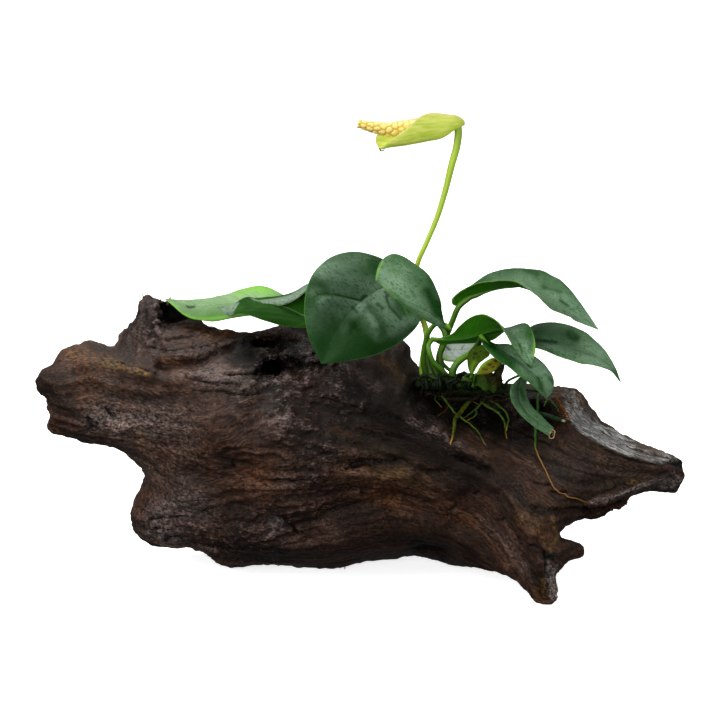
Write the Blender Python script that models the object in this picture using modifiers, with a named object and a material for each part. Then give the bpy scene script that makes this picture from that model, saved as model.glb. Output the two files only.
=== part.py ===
"""Dwarf anubias with one flower, rooted on a piece of driftwood.

Sizes are millimetres. The wood, leaves and stems are drawn on a sheet that leans back by LEAN: u runs
right and v runs up the sheet, and w is how far a point stands out of it towards the eye. A point that
stands out stays on its line of sight from the eye, which is EYE_DISTANCE in front of the sheet.
"""

import math

import bmesh
import bpy
import numpy as np
from mathutils import Vector, noise
from mathutils.bvhtree import BVHTree

# Driving dimensions
MM = 0.001
GAP = 0.3
EYE_DISTANCE = 1200
LEAN = math.radians(15)
SHEET_MIDDLE = (-0.25, -4.45, 86.5)
WOOD_TRIANGLES = 3000
LEAF_THICKNESS = 0.6
SPATHE_THICKNESS = 0.6
LEAF_STATIONS, LEAF_COLUMNS = 9, 5
SPATHE_STATIONS, SPATHE_COLUMNS = 9, 9

# The driftwood's outline, clockwise from the notch between the left arm and the horn
WOOD_OUTLINE = (
    (-95, 4), (-93, 7), (-92, 9.5), (-89, 14), (-87, 16), (-86, 19.5), (-85, 22.5), (-83.5, 25), (-82, 25),
    (-80, 23.5), (-76.5, 23), (-74.5, 22.5), (-73.5, 24.5), (-71.5, 22), (-67.5, 18.5), (-63, 15.5),
    (-60.5, 13.5), (-54.5, 11), (-46.5, 10), (-38, 11), (-31, 12.5), (-26.5, 15), (-22, 17.5), (-14.5, 18),
    (-6, 16.5), (3, 11.5), (11.5, 7.5), (17, 8), (19.5, 5.5), (19.5, 1), (22.5, -2.5), (25.5, -6.5),
    (32, -9.5), (42.5, -11), (54.5, -9.5), (66, -9.5), (72, -11), (77.5, -9.5), (81.5, -11), (84, -11),
    (88, -15.5), (89, -18), (93, -24), (101, -29), (110.5, -33), (120, -36.5), (125.5, -38.5), (125, -41),
    (124.5, -48), (123, -51), (118, -51.5), (110.5, -51), (104.5, -52.5), (103, -54.5), (103, -56),
    (97.5, -58), (92, -61), (87.5, -60.5), (80.5, -63), (78.5, -65.5), (76.5, -66.5), (77, -69),
    (82, -69.5), (86.5, -71.5), (87.5, -73.5), (85.5, -76), (82.5, -76.5), (79.5, -78), (78.5, -81.5),
    (76, -82), (76, -85.5), (76.5, -90.5), (76, -94), (73.5, -95.5), (71, -94.5), (68, -93), (62.5, -87),
    (58.5, -84.5), (52.5, -82), (45.5, -80.5), (39, -79.5), (32, -78.5), (26.5, -77), (21.5, -75.5),
    (14, -77), (6, -77.5), (-1, -78.5), (-6, -80), (-12.5, -81), (-25, -80), (-33.5, -79), (-44, -79.5),
    (-53.5, -80), (-55.5, -78.5), (-58, -76), (-62.5, -73), (-67.5, -72), (-75.5, -72.5), (-79.5, -71.5),
    (-85, -69), (-87.5, -66.5), (-89, -62.5), (-89.5, -59.5), (-87, -55.5), (-85, -50.5), (-83.5, -46),
    (-83.5, -43.5), (-85, -41.5), (-87, -39), (-90.5, -35.5), (-94, -33.5), (-98, -32.5), (-103, -33),
    (-108, -32), (-110, -30), (-113.5, -29), (-117, -28.5), (-120, -27.5), (-121.5, -25), (-120, -24),
    (-120, -21.5), (-120.5, -17.5), (-121.5, -14.5), (-124, -13), (-125.5, -10), (-125, -7.5), (-122, -4),
    (-118.5, -1.5), (-117.5, 1.5), (-115.5, 3.5), (-112, 5), (-108, 6), (-105, 7), (-102, 6), (-98, 5),
)

# Where the middle of the wood lies between front and back, and how full it is: (u, v), w, fullness
WOOD_MIDDLE = (
    ((-118, -12), 6, 0.75), ((-102, -15), -1, 0.7), ((-83, 18), -18, 0.8), ((-70, 8), -14, 0.7),
    ((-62, -20), -12, 0.62), ((-75, -62), -24, 0.7), ((-52, -62), -22, 0.62), ((-20, -30), -13, 0.62),
    ((-20, -74), -26, 0.75), ((-5, 5), -11, 0.62), ((20, -72), -30, 0.75), ((20, -30), -14, 0.62),
    ((50, -16), -15, 0.6), ((84, -16), -13, 0.7), ((55, -55), -12, 0.62), ((108, -42), -8, 0.8),
    ((123, -44), -3, 0.8), ((66, -80), 7, 0.75), ((74, -92), 16, 0.8), ((84, -73), 3, 0.8),
    ((40, -76), -18, 0.7),
)
MIDDLE_REACH = 15

# Ridges (above 0) and hollows (below 0) of the front: points (u, v), width, height
FRONT_RELIEF = (
    (((-23, 2), (10, -17), (35, -30), (58, -50), (74, -74)), 8, 6),
    (((36, -20), (52, -22), (70, -24)), 10, -7),
    (((-48, -28), (-34, -32)), 14, 4),
    (((-40, 6), (-33, 5.5)), 3.2, -8),
    (((-35, -3), (-32, -4)), 3.2, -7),
    (((-77, -3), (-66, -3.5), (-59, -1), (-45, 6)), 2.2, -3.5),
    (((-74, 18), (-66, 15)), 4, -10),
    (((-100, 1), (-92, -2), (-83, -5), (-70, -8)), 3, 2.5),
    (((-57, -9), (-47, -9.5), (-40, -10)), 2.5, 2),
    (((-66, -44), (-54, -45), (-44, -42)), 2.5, -2.5),
    (((-76, -55), (-60, -55)), 3, 2),
    (((-12, -58), (6, -52), (30, -57), (45, -63), (54, -71), (62, -79)), 6, -6),
    (((-70, -66), (-45, -72), (-15, -73), (10, -69)), 5, 3),
    (((21, -73), (33, -75)), 4, -5),
    (((-7, -42), (0, -40.5), (17, -40)), 2.5, -3),
    (((25, -44), (32, -44)), 2.5, -2.5),
    (((35, -37), (44, -40), (51, -44)), 2.2, -2.5),
    (((62, -62), (67, -74), (73, -88)), 2.5, 2.5),
    (((79, -17), (82, -24), (93, -32), (103, -37), (113, -40), (122, -43)), 3, 3.5),
    (((95, -47), (112, -47)), 5, -2.5),
    (((-112, -2), (-104, -10), (-98, -20)), 4, -2.5),
    (((-118, -14), (-106, -24), (-92, -27)), 3.5, 2),
)
# The same for the back; the broad low bulge is what the wood rests on there
BACK_RELIEF = (
    (((2, -62), (14, -63)), 13, 13),
    (((-110, -8), (-85, -14), (-60, -24), (-30, -30)), 5, 4),
    (((-80, -20), (-55, -40), (-30, -50)), 4, -5),
    (((-20, 4), (10, -12), (40, -24), (70, -36)), 6, 5),
    (((-10, -22), (20, -34), (50, -52)), 5, -6),
    (((40, -14), (60, -26), (84, -36), (110, -44)), 4, 4),
    (((-50, -8), (-38, 0)), 6, -6),
    (((30, -62), (56, -74), (70, -86)), 4, 3),
)
RELIEF_FADE = 7
LUMPS = ((0.07, 1.8), (0.17, 0.8))

# The saw cuts that part the limbs at their forks: two ends of each cut across the sheet
FORK_CUTS = (
    ((-95.5, 9), (-86, -47)),
    ((-97, 4.2), (-44, 11)),
    ((-87, -43.2), (-60, -79)),
    ((84, -8), (78.2, -67.8)),
    ((36, -83), (79, -67.6)),
    ((79.3, -67), (79.3, -84)),
)
# A point in each limb, by which it gets its name
LIMBS = {
    "wood_trunk": (-10, -35),
    "wood_left_arm": (-105, -14),
    "wood_horn": (-78, 15),
    "wood_lower_lobe": (-77, -62),
    "wood_right_arm": (100, -43),
    "wood_right_foot": (66, -82),
    "wood_knob": (83, -73),
}

# Leaves: rails along the midrib, the far edge and the near edge, each from the stem to the tip, as
# (u, v, w); then how far the two halves bulge between midrib and edge
LEAVES = {
    "leaf_far_left": (
        ((-24, 21.5, -17), (-35, 23, -15), (-44.5, 22.5, -14), (-54.5, 21.5, -13), (-65, 21, -12),
         (-75.5, 23.5, -11)),
        ((-24, 21.5, -17), (-29.5, 25, -24), (-38, 28.5, -29), (-45.5, 27, -30), (-52.5, 24.5, -28),
         (-62, 23, -22), (-75.5, 23.5, -11)),
        ((-24, 21.5, -17), (-31, 18, -8), (-44.5, 17, -3), (-57.5, 15, -1), (-66.5, 16.5, -3),
         (-72.5, 21, -7), (-75.5, 23.5, -11)),
        -1.5,
    ),
    "leaf_left_twisted": (
        ((-14, 14.5, 9), (-21.5, 17, 6), (-30, 20.5, 4), (-38, 21.5, 4), (-46.5, 20, 3), (-55, 20, 2)),
        ((-14, 14.5, 9), (-16.5, 27, -1), (-20, 29.5, -5), (-24, 27, -5), (-28.5, 25, -5),
         (-35.5, 24, -5), (-43, 24, -3), (-49, 20, 0), (-55, 20, 2)),
        ((-14, 14.5, 9), (-21.5, 12.5, 10), (-28, 13, 10), (-35.5, 14.5, 11), (-42.5, 16, 10),
         (-49, 18, 7), (-55, 20, 2)),
        -1,
    ),
    "leaf_big_round": (
        ((12.5, 29, 3), (6, 26.5, 8), (-2, 20.5, 14), (-9, 12, 20), (-13, 4, 24), (-15, -1.5, 26)),
        ((12.5, 29, 3), (11, 37, 0), (1, 41.5, 1), (-9.5, 40.5, 8), (-19, 32, 16), (-21.5, 21.5, 21),
         (-20, 9.5, 25), (-15, -1.5, 26)),
        ((12.5, 29, 3), (18.5, 30, 2), (24, 23.5, 5), (23.5, 16, 9), (17, 8, 15), (7, 2.5, 20),
         (-6, -0.5, 25), (-15, -1.5, 26)),
        -2,
    ),
    "leaf_over_big": (
        ((34.5, 11.5, 26), (29.5, 16, 31), (23.5, 20, 35), (16.5, 23.5, 36), (10.5, 27.5, 34), (6, 31, 30)),
        ((34.5, 11.5, 26), (32, 15.5, 25), (31.5, 21.5, 22), (29.5, 27, 20), (25, 32, 19), (20, 36, 19),
         (12.5, 41, 22), (8, 38, 26), (6, 31, 30)),
        ((34.5, 11.5, 26), (30, 13, 23), (23.5, 16.5, 20), (17.5, 20.5, 19), (11, 26.5, 23), (6, 31, 30)),
        -1,
    ),
    "leaf_tall_arching": (
        ((36, 21.5, 6), (41, 23.5, 7), (46.5, 26, 8), (53.5, 28, 9), (59.5, 28.5, 10), (66, 27.5, 10),
         (73.5, 24.5, 9), (82.5, 19.5, 7), (91.5, 12.5, 6)),
        ((36, 21.5, 6), (39, 25, 1), (43.5, 29.5, -4), (51, 35, -10), (61.5, 36, -13), (69, 35, -12),
         (77.5, 31, -8), (82, 26.5, -4), (86.5, 20, 1), (91.5, 12.5, 6)),
        ((36, 21.5, 6), (37.5, 24.5, 9), (42, 28, 13), (48, 30, 17), (54.5, 30.5, 20), (60.5, 30, 22),
         (67.5, 25.5, 22), (73, 21, 19), (81.5, 17, 13), (91.5, 12.5, 6)),
        1,
    ),
    "leaf_twisted_middle": (
        ((28, 8, 12), (35.5, 8, 12), (43, 9, 13), (49.5, 11, 14), (55.5, 12, 16), (60, 8.5, 20),
         (64, 3, 25), (66.5, -2.5, 28)),
        ((28, 8, 12), (35.5, 10, 13), (38.5, 13, 15), (43, 16.5, 18), (48, 17.5, 21), (52.5, 15.5, 24),
         (55.5, 12, 25), (57.5, 8.5, 25), (60, 4.5, 25), (63.5, 0, 26), (66.5, -2.5, 28)),
        ((28, 8, 12), (30, 6.5, 11), (37, 6.5, 9), (46.5, 7, 7), (51.5, 8, 6), (55.5, 11, 6),
         (59.5, 13, 10), (64.5, 14, 15), (67, 10.5, 20), (68, 4, 25), (66.5, -2.5, 28)),
        0,
    ),
    "leaf_right_long": (
        ((60.5, 6.5, 1), (68, 8, 2), (77.5, 7.5, 3), (87, 4.5, 4), (95, -1, 5), (101, -8.5, 6)),
        ((60.5, 6.5, 1), (63, 10, -3), (68, 13.5, -8), (75, 14.5, -10), (80.5, 13.5, -10), (87, 10.5, -8),
         (93, 5.5, -4), (97.5, -0.5, 0), (101, -8.5, 6)),
        ((60.5, 6.5, 1), (64.5, 5.5, 5), (72, 3.5, 10), (77.5, 1, 12), (84, -1, 13), (92.5, -2.5, 12),
         (97.5, -4.5, 9), (101, -8.5, 6)),
        1.2,
    ),
    "leaf_low_right": (
        ((47, 9, 17), (51, 5.5, 19), (56, 2.5, 21), (62, -1, 23), (68, -6, 24), (71, -11, 24), (72, -15, 23)),
        ((47, 9, 17), (49, 8, 15), (52.5, 6, 14), (57, 6, 15), (62, 4.5, 16), (68, 1, 17), (72, -2.5, 19),
         (75, -8, 21), (74.5, -12, 22), (72, -15, 23)),
        ((47, 9, 17), (47.5, 6, 20), (50, 3, 24), (53, 0, 26), (58, -3, 28), (63, -7, 29), (68, -11, 28),
         (70.5, -13.5, 26), (72, -15, 23)),
        1,
    ),
    "leaf_cut_hanging": (
        ((63, -5.5, 17), (61.5, -9.5, 18), (61.5, -14.5, 18), (64, -19.5, 18), (69, -24, 18), (74, -28, 18)),
        ((63, -5.5, 17), (64.5, -7.5, 15), (64, -11, 14), (64.5, -14, 14), (67, -18.5, 14),
         (71, -22.5, 15), (75, -26.5, 16)),
        ((63, -5.5, 17), (61, -7.5, 19), (58.5, -10.5, 20), (58.5, -15.5, 20), (61.5, -20.5, 20),
         (67, -25.5, 20), (73.5, -29.5, 19)),
        0.5,
    ),
    "leaf_pale_back": (
        ((31.5, 3, -5), (36, 3.5, -5), (41, 4, -5), (49, 5, -6)),
        ((31.5, 3, -5), (33, 6, -10), (37, 7, -14), (43.5, 7, -13), (49, 5, -6)),
        ((31.5, 3, -5), (32.5, 0, -1), (37, -0.5, 0), (43, 2, -1), (49, 5, -6)),
        0.5,
    ),
    "leaf_small_olive": (
        ((44, 4.5, 11), (47, 1.5, 13), (46, -2.5, 13), (43.5, -6, 11)),
        ((44, 4.5, 11), (48.5, 5, 12), (50.2, 1.5, 14), (47.5, -2, 15), (44.5, -4.5, 13), (43.5, -6, 11)),
        ((44, 4.5, 11), (42.3, 2, 10.5), (42, -1.5, 10.5), (42.8, -4.5, 10.5), (43.5, -6, 11)),
        0.5,
    ),
    "leaf_yellow_spotted": (
        ((45, -5.5, 19), (48, -3.5, 22), (51.5, -1.5, 23), (55, -0.5, 23)),
        ((45, -5.5, 19), (47.5, -1.5, 19), (51, 0.5, 20), (55, -0.5, 23)),
        ((45, -5.5, 19), (48, -5.5, 23), (52, -4.5, 25), (55, -0.5, 23)),
        0.4,
    ),
    "leaf_crumpled_dark": (
        ((49, -8.5, 9), (51, -6.5, 13), (52.5, -4.5, 13), (54.5, -2.5, 9)),
        ((49, -8.5, 9), (48, -6, 6), (51.5, -2, 5), (54.5, -2.5, 9)),
        ((49, -8.5, 9), (52.5, -9, 10), (54.5, -7, 10), (54.5, -2.5, 9)),
        0.8,
    ),
}

# The spathe: rails along its keel and its two rims, from the flower stalk to the tip
SPATHE = (
    ((39.5, 91.5, 0), (37, 89, 0), (32.5, 86, 0), (25, 84.5, 0), (17, 83, 0), (11, 82.5, 0), (7.5, 81.5, 0)),
    ((39.5, 91.5, 0), (37.5, 94.5, -4), (33, 95.5, -6), (26.5, 95, -7), (18.5, 93, -7), (12, 92, -6),
     (7.5, 89, -4), (6, 85, -2), (7.5, 81.5, 0)),
    ((39.5, 91.5, 0), (37, 94.5, 4), (31, 95.5, 6), (25.5, 95.5, 7), (20, 91.5, 7), (15.5, 86.5, 6),
     (11, 84, 3), (7.5, 81.5, 0)),
)
SPADIX = ((28, 91, 0), (18.5, 90.5, 0), (10, 89.5, 0), (2, 90.5, 0), (-0.5, 91, 0))
SPADIX_RADII = (1.6, 2.3, 2.2, 1.5, 0.7)

RHIZOME = (
    (23.5, -7, 1), (26.5, -8.5, 2), (31, -9.5, 3), (37, -10.5, 4), (42.5, -11, 4), (49, -11, 4),
    (54.5, -11, 3), (58, -11, 2),
)
RHIZOME_RADII = (1.6, 2.2, 2.6, 2.5, 2.7, 2.6, 2.3, 1.5)

# Stems: radius at the rhizome, radius at the leaf, points (u, v, w)
STEMS = {
    "stem_far_left": (0.9, 0.8, (
        (29.5, -9.5, 0), (27, -4.5, -5), (24.5, 3, -10), (18, 14.5, -14), (4.5, 22.5, -18), (-11.5, 24, -20),
        (-23, 22.3, -18))),
    "stem_left_twisted": (0.9, 0.8, (
        (32, -9.5, 2), (28.5, -3, -1), (26, 6, -5), (17.5, 16.5, -7), (6, 21.5, -5), (-4, 20.5, 1),
        (-10, 18, 6), (-13, 15.5, 8.2))),
    "stem_big_round": (1.2, 0.9, (
        (37, -9.5, 3), (35, -2, 5), (34, 6, 6), (30, 14, 5), (23, 23, 0), (14.3, 28.7, 0.6))),
    "stem_over_big": (1, 0.8, (
        (28, -9.5, 6), (25, -4, 8), (25, 4, 11), (26.5, 10.5, 14), (29.5, 14, 16), (33, 13.6, 19),
        (35, 12, 23.5))),
    "stem_tall_arching": (1.3, 1, (
        (34, -10, 1), (31, -4.5, -1), (30.5, 1, 0.5), (32, 6, 2.5), (34, 11, 4), (35.3, 17, 5), (35.8, 20.3, 5.8))),
    "stem_twisted_middle": (1.1, 1, (
        (35, -10, 7), (32, -4.5, 10), (28.5, -1, 12), (27, 2.5, 13), (26.6, 6, 12.6), (27, 7.2, 12))),
    "stem_right_long": (0.9, 0.8, (
        (50.5, -11, 1), (53, -4.5, -4), (56, 2, -3), (59.7, 6, 0.2))),
    "stem_low_right": (1, 0.9, (
        (42.5, -11, 7), (40.8, -5, 13), (42.5, 1, 15.5), (44.5, 5, 17), (46, 7.4, 16.8))),
    "stem_cut_hanging": (0.5, 0.5, (
        (56, -11, 4), (57, -8.5, 8.5), (59.3, -7, 13), (62, -5.8, 15.9))),
    "stem_pale_back": (0.8, 0.7, (
        (39.5, -10, 1), (36, -5, -5), (32, -1, -6.5), (31, 2.4, -5.7))),
    "stem_small_olive": (1.4, 1, (
        (39, -10, 7), (35.8, -5, 8.5), (36.2, -1, 9.5), (38.8, 2.4, 9.8), (42.2, 4.6, 10.2))),
    "stem_yellow_spotted": (0.7, 0.6, (
        (46, -11, 7), (44.5, -8.5, 14), (44.5, -6.3, 18))),
}
FLOWER_STALK = (
    (25.5, -9.5, 2), (24, -4.5, 3), (24.7, 4, 2), (25.7, 9.5, 1), (24.7, 14.5, -1), (22.3, 22, -4),
    (21.5, 30, -4), (22.4, 37.5, -4), (25.4, 45, -3), (29.2, 54.5, -2), (32.3, 65, -1), (35.1, 75.5, 0),
    (37.7, 84, 0), (38.6, 87.6, 0),
)
STALK_RADII = (1.1, 1, 0.95, 0.95, 1, 1.1, 1.35)

# Roots: radius, start inside the rhizome (u, v, w), then points (u, v) over the wood
ROOTS = {
    "root_left_thick": (0.6, (26.5, -9, 3), (
        (28, -11), (31, -12.5), (32, -16), (35.5, -18.5), (38, -21.5), (42.5, -24), (46.5, -27), (49, -33.5))),
    "root_yellow_green": (0.8, (47, -11, 4), (
        (45.5, -13), (42.5, -15.5), (40.5, -18.5), (37.5, -20), (35.5, -25), (35, -31))),
    "root_middle": (0.5, (50, -11, 4), ((51.5, -17.5), (55.5, -23.5), (57, -31))),
    "root_right": (0.45, (55, -11, 3), (
        (63, -11.5), (69.5, -12.5), (68.5, -15.5), (69, -20), (68, -25.5), (68, -31), (68.5, -35.5),
        (73.5, -44.5), (76.5, -50), (80.5, -52.5), (89, -55))),
    "root_left_branch": (0.45, (53, -11, 3), ((50, -14), (47, -17), (43.5, -20.5), (39, -23.5))),
    "root_bud": (0.6, (39.5, -11, 4), ((40.5, -14), (42, -15.5))),
    "root_brown": (0.35, (33.5, -9.5, 4), ((34.5, -14), (33.5, -19), (30, -22))),
}
# Loose pieces on the wood: radius, points (u, v)
LOOSE = {
    "rhizome_tip": (1, ((70.5, -20.8), (75, -22.5), (80, -23.5))),
    "root_loop": (0.35, ((71.5, -18), (73, -15.5), (75.5, -17.5), (77.5, -20))),
    "root_edge": (0.5, ((76, -14), (77.5, -16.5), (79.5, -20), (82, -23.5))),
}
ROOT_STEP = 2.8
DEEPEST = 5
STEM_STEP = 4.5

# Colours and roughness
FINISHES = {
    "wood": ((0.035, 0.022, 0.016, 1), 0.45),
    "leaf": ((0.03, 0.13, 0.03, 1), 0.3),
    "pale_leaf": ((0.16, 0.4, 0.08, 1), 0.35),
    "yellow_leaf": ((0.45, 0.42, 0.04, 1), 0.4),
    "stem": ((0.1, 0.24, 0.03, 1), 0.4),
    "rhizome": ((0.03, 0.06, 0.015, 1), 0.6),
    "root": ((0.12, 0.13, 0.03, 1), 0.6),
    "stalk": ((0.38, 0.58, 0.05, 1), 0.4),
    "spathe": ((0.42, 0.62, 0.06, 1), 0.4),
    "spadix": ((0.8, 0.66, 0.3, 1), 0.6),
}


def placed(u, v, w):
    """Metres in the object's frame of points on or off the leaning sheet, for numbers or arrays."""
    u, v, w = np.broadcast_arrays(u, v, w)
    shrink = 1 - w / EYE_DISTANCE
    x = SHEET_MIDDLE[0] + u * shrink
    up = v * shrink
    y = SHEET_MIDDLE[1] + up * math.sin(LEAN) - w * math.cos(LEAN)
    z = SHEET_MIDDLE[2] + up * math.cos(LEAN) + w * math.sin(LEAN)
    return np.stack([x, y, z], axis=-1) * MM


def place(u, v, w):
    return Vector(placed(u, v, w))


def along(points, shares):
    """Points at the given shares, 0 to 1, of a smooth curve through the listed ones."""
    points = np.array(points, float)
    reach = np.concatenate([[0], np.cumsum(np.linalg.norm(np.diff(points, axis=0), axis=1))])
    slope = np.gradient(points, reach, axis=0)
    at = np.asarray(shares) * reach[-1]
    left = np.clip(np.searchsorted(reach, at, side="right") - 1, 0, len(points) - 2)
    span = (reach[left + 1] - reach[left])[:, None]
    t = (at - reach[left])[:, None] / span
    start = (2 * t**3 - 3 * t**2 + 1) * points[left] + (t**3 - 2 * t**2 + t) * span * slope[left]
    end = (3 * t**2 - 2 * t**3) * points[left + 1] + (t**3 - t**2) * span * slope[left + 1]
    return start + end


def length_of(points):
    return float(np.linalg.norm(np.diff(np.array(points, float), axis=0), axis=1).sum())


def clear_scene():
    for item in list(bpy.data.objects):
        bpy.data.objects.remove(item, do_unlink=True)


def new_collection(name):
    made = bpy.data.collections.new(name)
    bpy.context.scene.collection.children.link(made)
    return made


def new_object(name, data, collection):
    made = bpy.data.objects.new(name, data)
    collection.objects.link(made)
    return made


def paint(item, finish):
    colour, roughness = FINISHES[finish]
    material = bpy.data.materials.get(finish) or bpy.data.materials.new(finish)
    material.use_nodes = True
    shader = material.node_tree.nodes["Principled BSDF"]
    shader.inputs["Base Color"].default_value = colour
    shader.inputs["Roughness"].default_value = roughness
    shader.inputs["Metallic"].default_value = 0
    item.data.materials.clear()
    item.data.materials.append(material)


def evaluated_mesh(item):
    graph = bpy.context.evaluated_depsgraph_get()
    return bpy.data.meshes.new_from_object(item.evaluated_get(graph))


def bake(item):
    """Replaces the object's mesh by what its modifiers make of it."""
    mesh = evaluated_mesh(item)
    item.modifiers.clear()
    item.data = mesh


def weld(mesh, distance=0.00002):
    shape = bmesh.new()
    shape.from_mesh(mesh)
    bmesh.ops.remove_doubles(shape, verts=shape.verts, dist=distance)
    shape.to_mesh(mesh)
    shape.free()


def tree_of(item):
    return BVHTree.FromObject(item, bpy.context.evaluated_depsgraph_get())


# The driftwood

def in_outline(u, v):
    """True for each point of the sheet that lies inside the wood's outline."""
    inside = np.zeros(u.shape, bool)
    corners = WOOD_OUTLINE + WOOD_OUTLINE[:1]
    for (u0, v0), (u1, v1) in zip(corners, corners[1:]):
        if v0 != v1:
            crosses = ((v0 > v) != (v1 > v)) & (u < (u1 - u0) * (v - v0) / (v1 - v0) + u0)
            inside ^= crosses
    return inside


def swelling(inside):
    """A dome over the outline, nought at its rim: the square of a round limb's half thickness."""
    dome = np.zeros(inside.shape)
    rows, columns = np.indices(inside.shape)
    for sweep in range(400):
        for colour in (0, 1):
            around = np.zeros(inside.shape)
            around[1:-1, 1:-1] = dome[2:, 1:-1] + dome[:-2, 1:-1] + dome[1:-1, 2:] + dome[1:-1, :-2]
            chosen = inside & ((rows + columns) % 2 == colour)
            dome[chosen] += 1.93 * ((around[chosen] + 4) / 4 - dome[chosen])
    return dome


def relief(features, u, v):
    height = np.zeros(u.shape)
    for points, width, rise in features:
        nearest = np.full(u.shape, np.inf)
        for (u0, v0), (u1, v1) in zip(points, points[1:]):
            du, dv = u1 - u0, v1 - v0
            share = np.clip(((u - u0) * du + (v - v0) * dv) / (du * du + dv * dv), 0, 1)
            nearest = np.minimum(nearest, np.hypot(u - u0 - share * du, v - v0 - share * dv))
        height += rise * np.exp(-((nearest / width) ** 2))
    return height


def lumps(u, v, side):
    height = np.zeros(u.shape)
    for index in np.ndindex(u.shape):
        for fineness, rise in LUMPS:
            spot = Vector((u[index] * fineness, v[index] * fineness * 1.4, 7.3 * side))
            height[index] += rise * noise.noise(spot)
    return height


def wood_faces():
    """The front and the back of the wood, as w over a grid of the sheet one millimetre fine."""
    u, v = np.meshgrid(np.arange(-130, 131.0), np.arange(-100, 31.0))
    dome = swelling(in_outline(u, v))
    weight = np.zeros(u.shape)
    middle = np.zeros(u.shape)
    fullness = np.zeros(u.shape)
    for (u0, v0), depth, full in WOOD_MIDDLE:
        pull = np.exp(-((u - u0) ** 2 + (v - v0) ** 2) / (2 * MIDDLE_REACH**2)) + 1e-9
        weight += pull
        middle += pull * depth
        fullness += pull * full
    middle /= weight
    half = fullness / weight * np.sqrt(dome)
    fade = np.clip(half / RELIEF_FADE, 0, 1)
    front = middle + half + fade * (relief(FRONT_RELIEF, u, v) + lumps(u, v, 1))
    back = middle - half - fade * (relief(BACK_RELIEF, u, v) + lumps(u, v, -1))
    return front, np.minimum(back, front)


def sampled(grid, u, v):
    column = np.clip(u + 130, 0, grid.shape[1] - 1.001)
    row = np.clip(v + 100, 0, grid.shape[0] - 1.001)
    c, r = column.astype(int), row.astype(int)
    fc, fr = column - c, row - r
    low = grid[r, c] * (1 - fc) + grid[r, c + 1] * fc
    high = grid[r + 1, c] * (1 - fc) + grid[r + 1, c + 1] * fc
    return low * (1 - fr) + high * fr


def wood_blank(collection):
    """A board sawn to the outline, blown up into a rounded trunk with its limbs."""
    half_board = 4
    curve = bpy.data.curves.new("wood_outline", "CURVE")
    curve.dimensions = "2D"
    curve.fill_mode = "BOTH"
    curve.extrude = half_board * MM
    spline = curve.splines.new("POLY")
    spline.points.add(len(WOOD_OUTLINE) - 1)
    for point, (u, v) in zip(spline.points, WOOD_OUTLINE):
        point.co = (u * MM, v * MM, 0, 1)
    spline.use_cyclic_u = True
    outline = new_object("wood_outline", curve, collection)
    board = new_object("wood", evaluated_mesh(outline), collection)
    bpy.data.objects.remove(outline, do_unlink=True)
    weld(board.data)
    remesh(board, 0.9)
    co = np.empty(len(board.data.vertices) * 3)
    board.data.vertices.foreach_get("co", co)
    u, v, level = co.reshape(-1, 3).T / MM
    front, back = wood_faces()
    share = np.clip((level / half_board + 1) / 2, 0, 1)
    w = sampled(back, u, v) * (1 - share) + sampled(front, u, v) * share
    board.data.vertices.foreach_set("co", placed(u, v, w).ravel())
    remesh(board, 1.2)
    slim = board.modifiers.new("Decimate", "DECIMATE")
    slim.ratio = WOOD_TRIANGLES / (2 * len(board.data.polygons))
    bake(board)
    return board


def remesh(item, size):
    even = item.modifiers.new("Remesh", "REMESH")
    even.mode = "VOXEL"
    even.voxel_size = size * MM
    bake(item)


def box_cutter(name, corner_of, collection):
    """A box whose eight corners corner_of places, from the signs of a cube's."""
    shape = bmesh.new()
    bmesh.ops.create_cube(shape, size=2)
    for vert in shape.verts:
        vert.co = corner_of(*vert.co)
    shape.normal_update()
    bmesh.ops.recalc_face_normals(shape, faces=shape.faces)
    mesh = bpy.data.meshes.new(name)
    shape.to_mesh(mesh)
    shape.free()
    cutter = new_object(name, mesh, collection)
    cutter.hide_render = True
    cutter.display_type = "WIRE"
    return cutter


def fork_cutter(ends, collection):
    (u0, v0), (u1, v1) = ends
    length = math.hypot(u1 - u0, v1 - v0)
    across_u, across_v = (v1 - v0) / length, (u0 - u1) / length

    def corner(x, y, z):
        share = (x + 1) / 2
        u = u0 + (u1 - u0) * share + y * across_u * GAP / 2
        v = v0 + (v1 - v0) * share + y * across_v * GAP / 2
        return place(u, v, z * 75)

    return box_cutter("fork_cut", corner, collection)


def floor_cutter(collection):
    return box_cutter(
        "floor_cut",
        lambda x, y, z: Vector((x * 150, y * 150, z * 20 - 20)) * MM,
        collection,
    )


def cut(item, cutter):
    boolean = item.modifiers.new("Cut", "BOOLEAN")
    boolean.operation = "DIFFERENCE"
    boolean.object = cutter
    bake(item)


def islands(shape):
    """The separate bodies of a bmesh, as lists of vertices."""
    left = set(shape.verts)
    found = []
    while left:
        body = set()
        front = [left.pop()]
        while front:
            vert = front.pop()
            body.add(vert)
            for edge in vert.link_edges:
                other = edge.other_vert(vert)
                if other in left:
                    left.remove(other)
                    front.append(other)
        found.append(body)
    return found


def limb_of(body):
    """The limb whose point lies inside the body, looking along the sight line through it."""
    for name, (u, v) in LIMBS.items():
        tree = BVHTree.FromBMesh(body)
        eye, far = place(u, v, 120), place(u, v, -120)
        if tree.ray_cast(eye, far - eye)[0] is not None:
            return name
    return None


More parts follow.
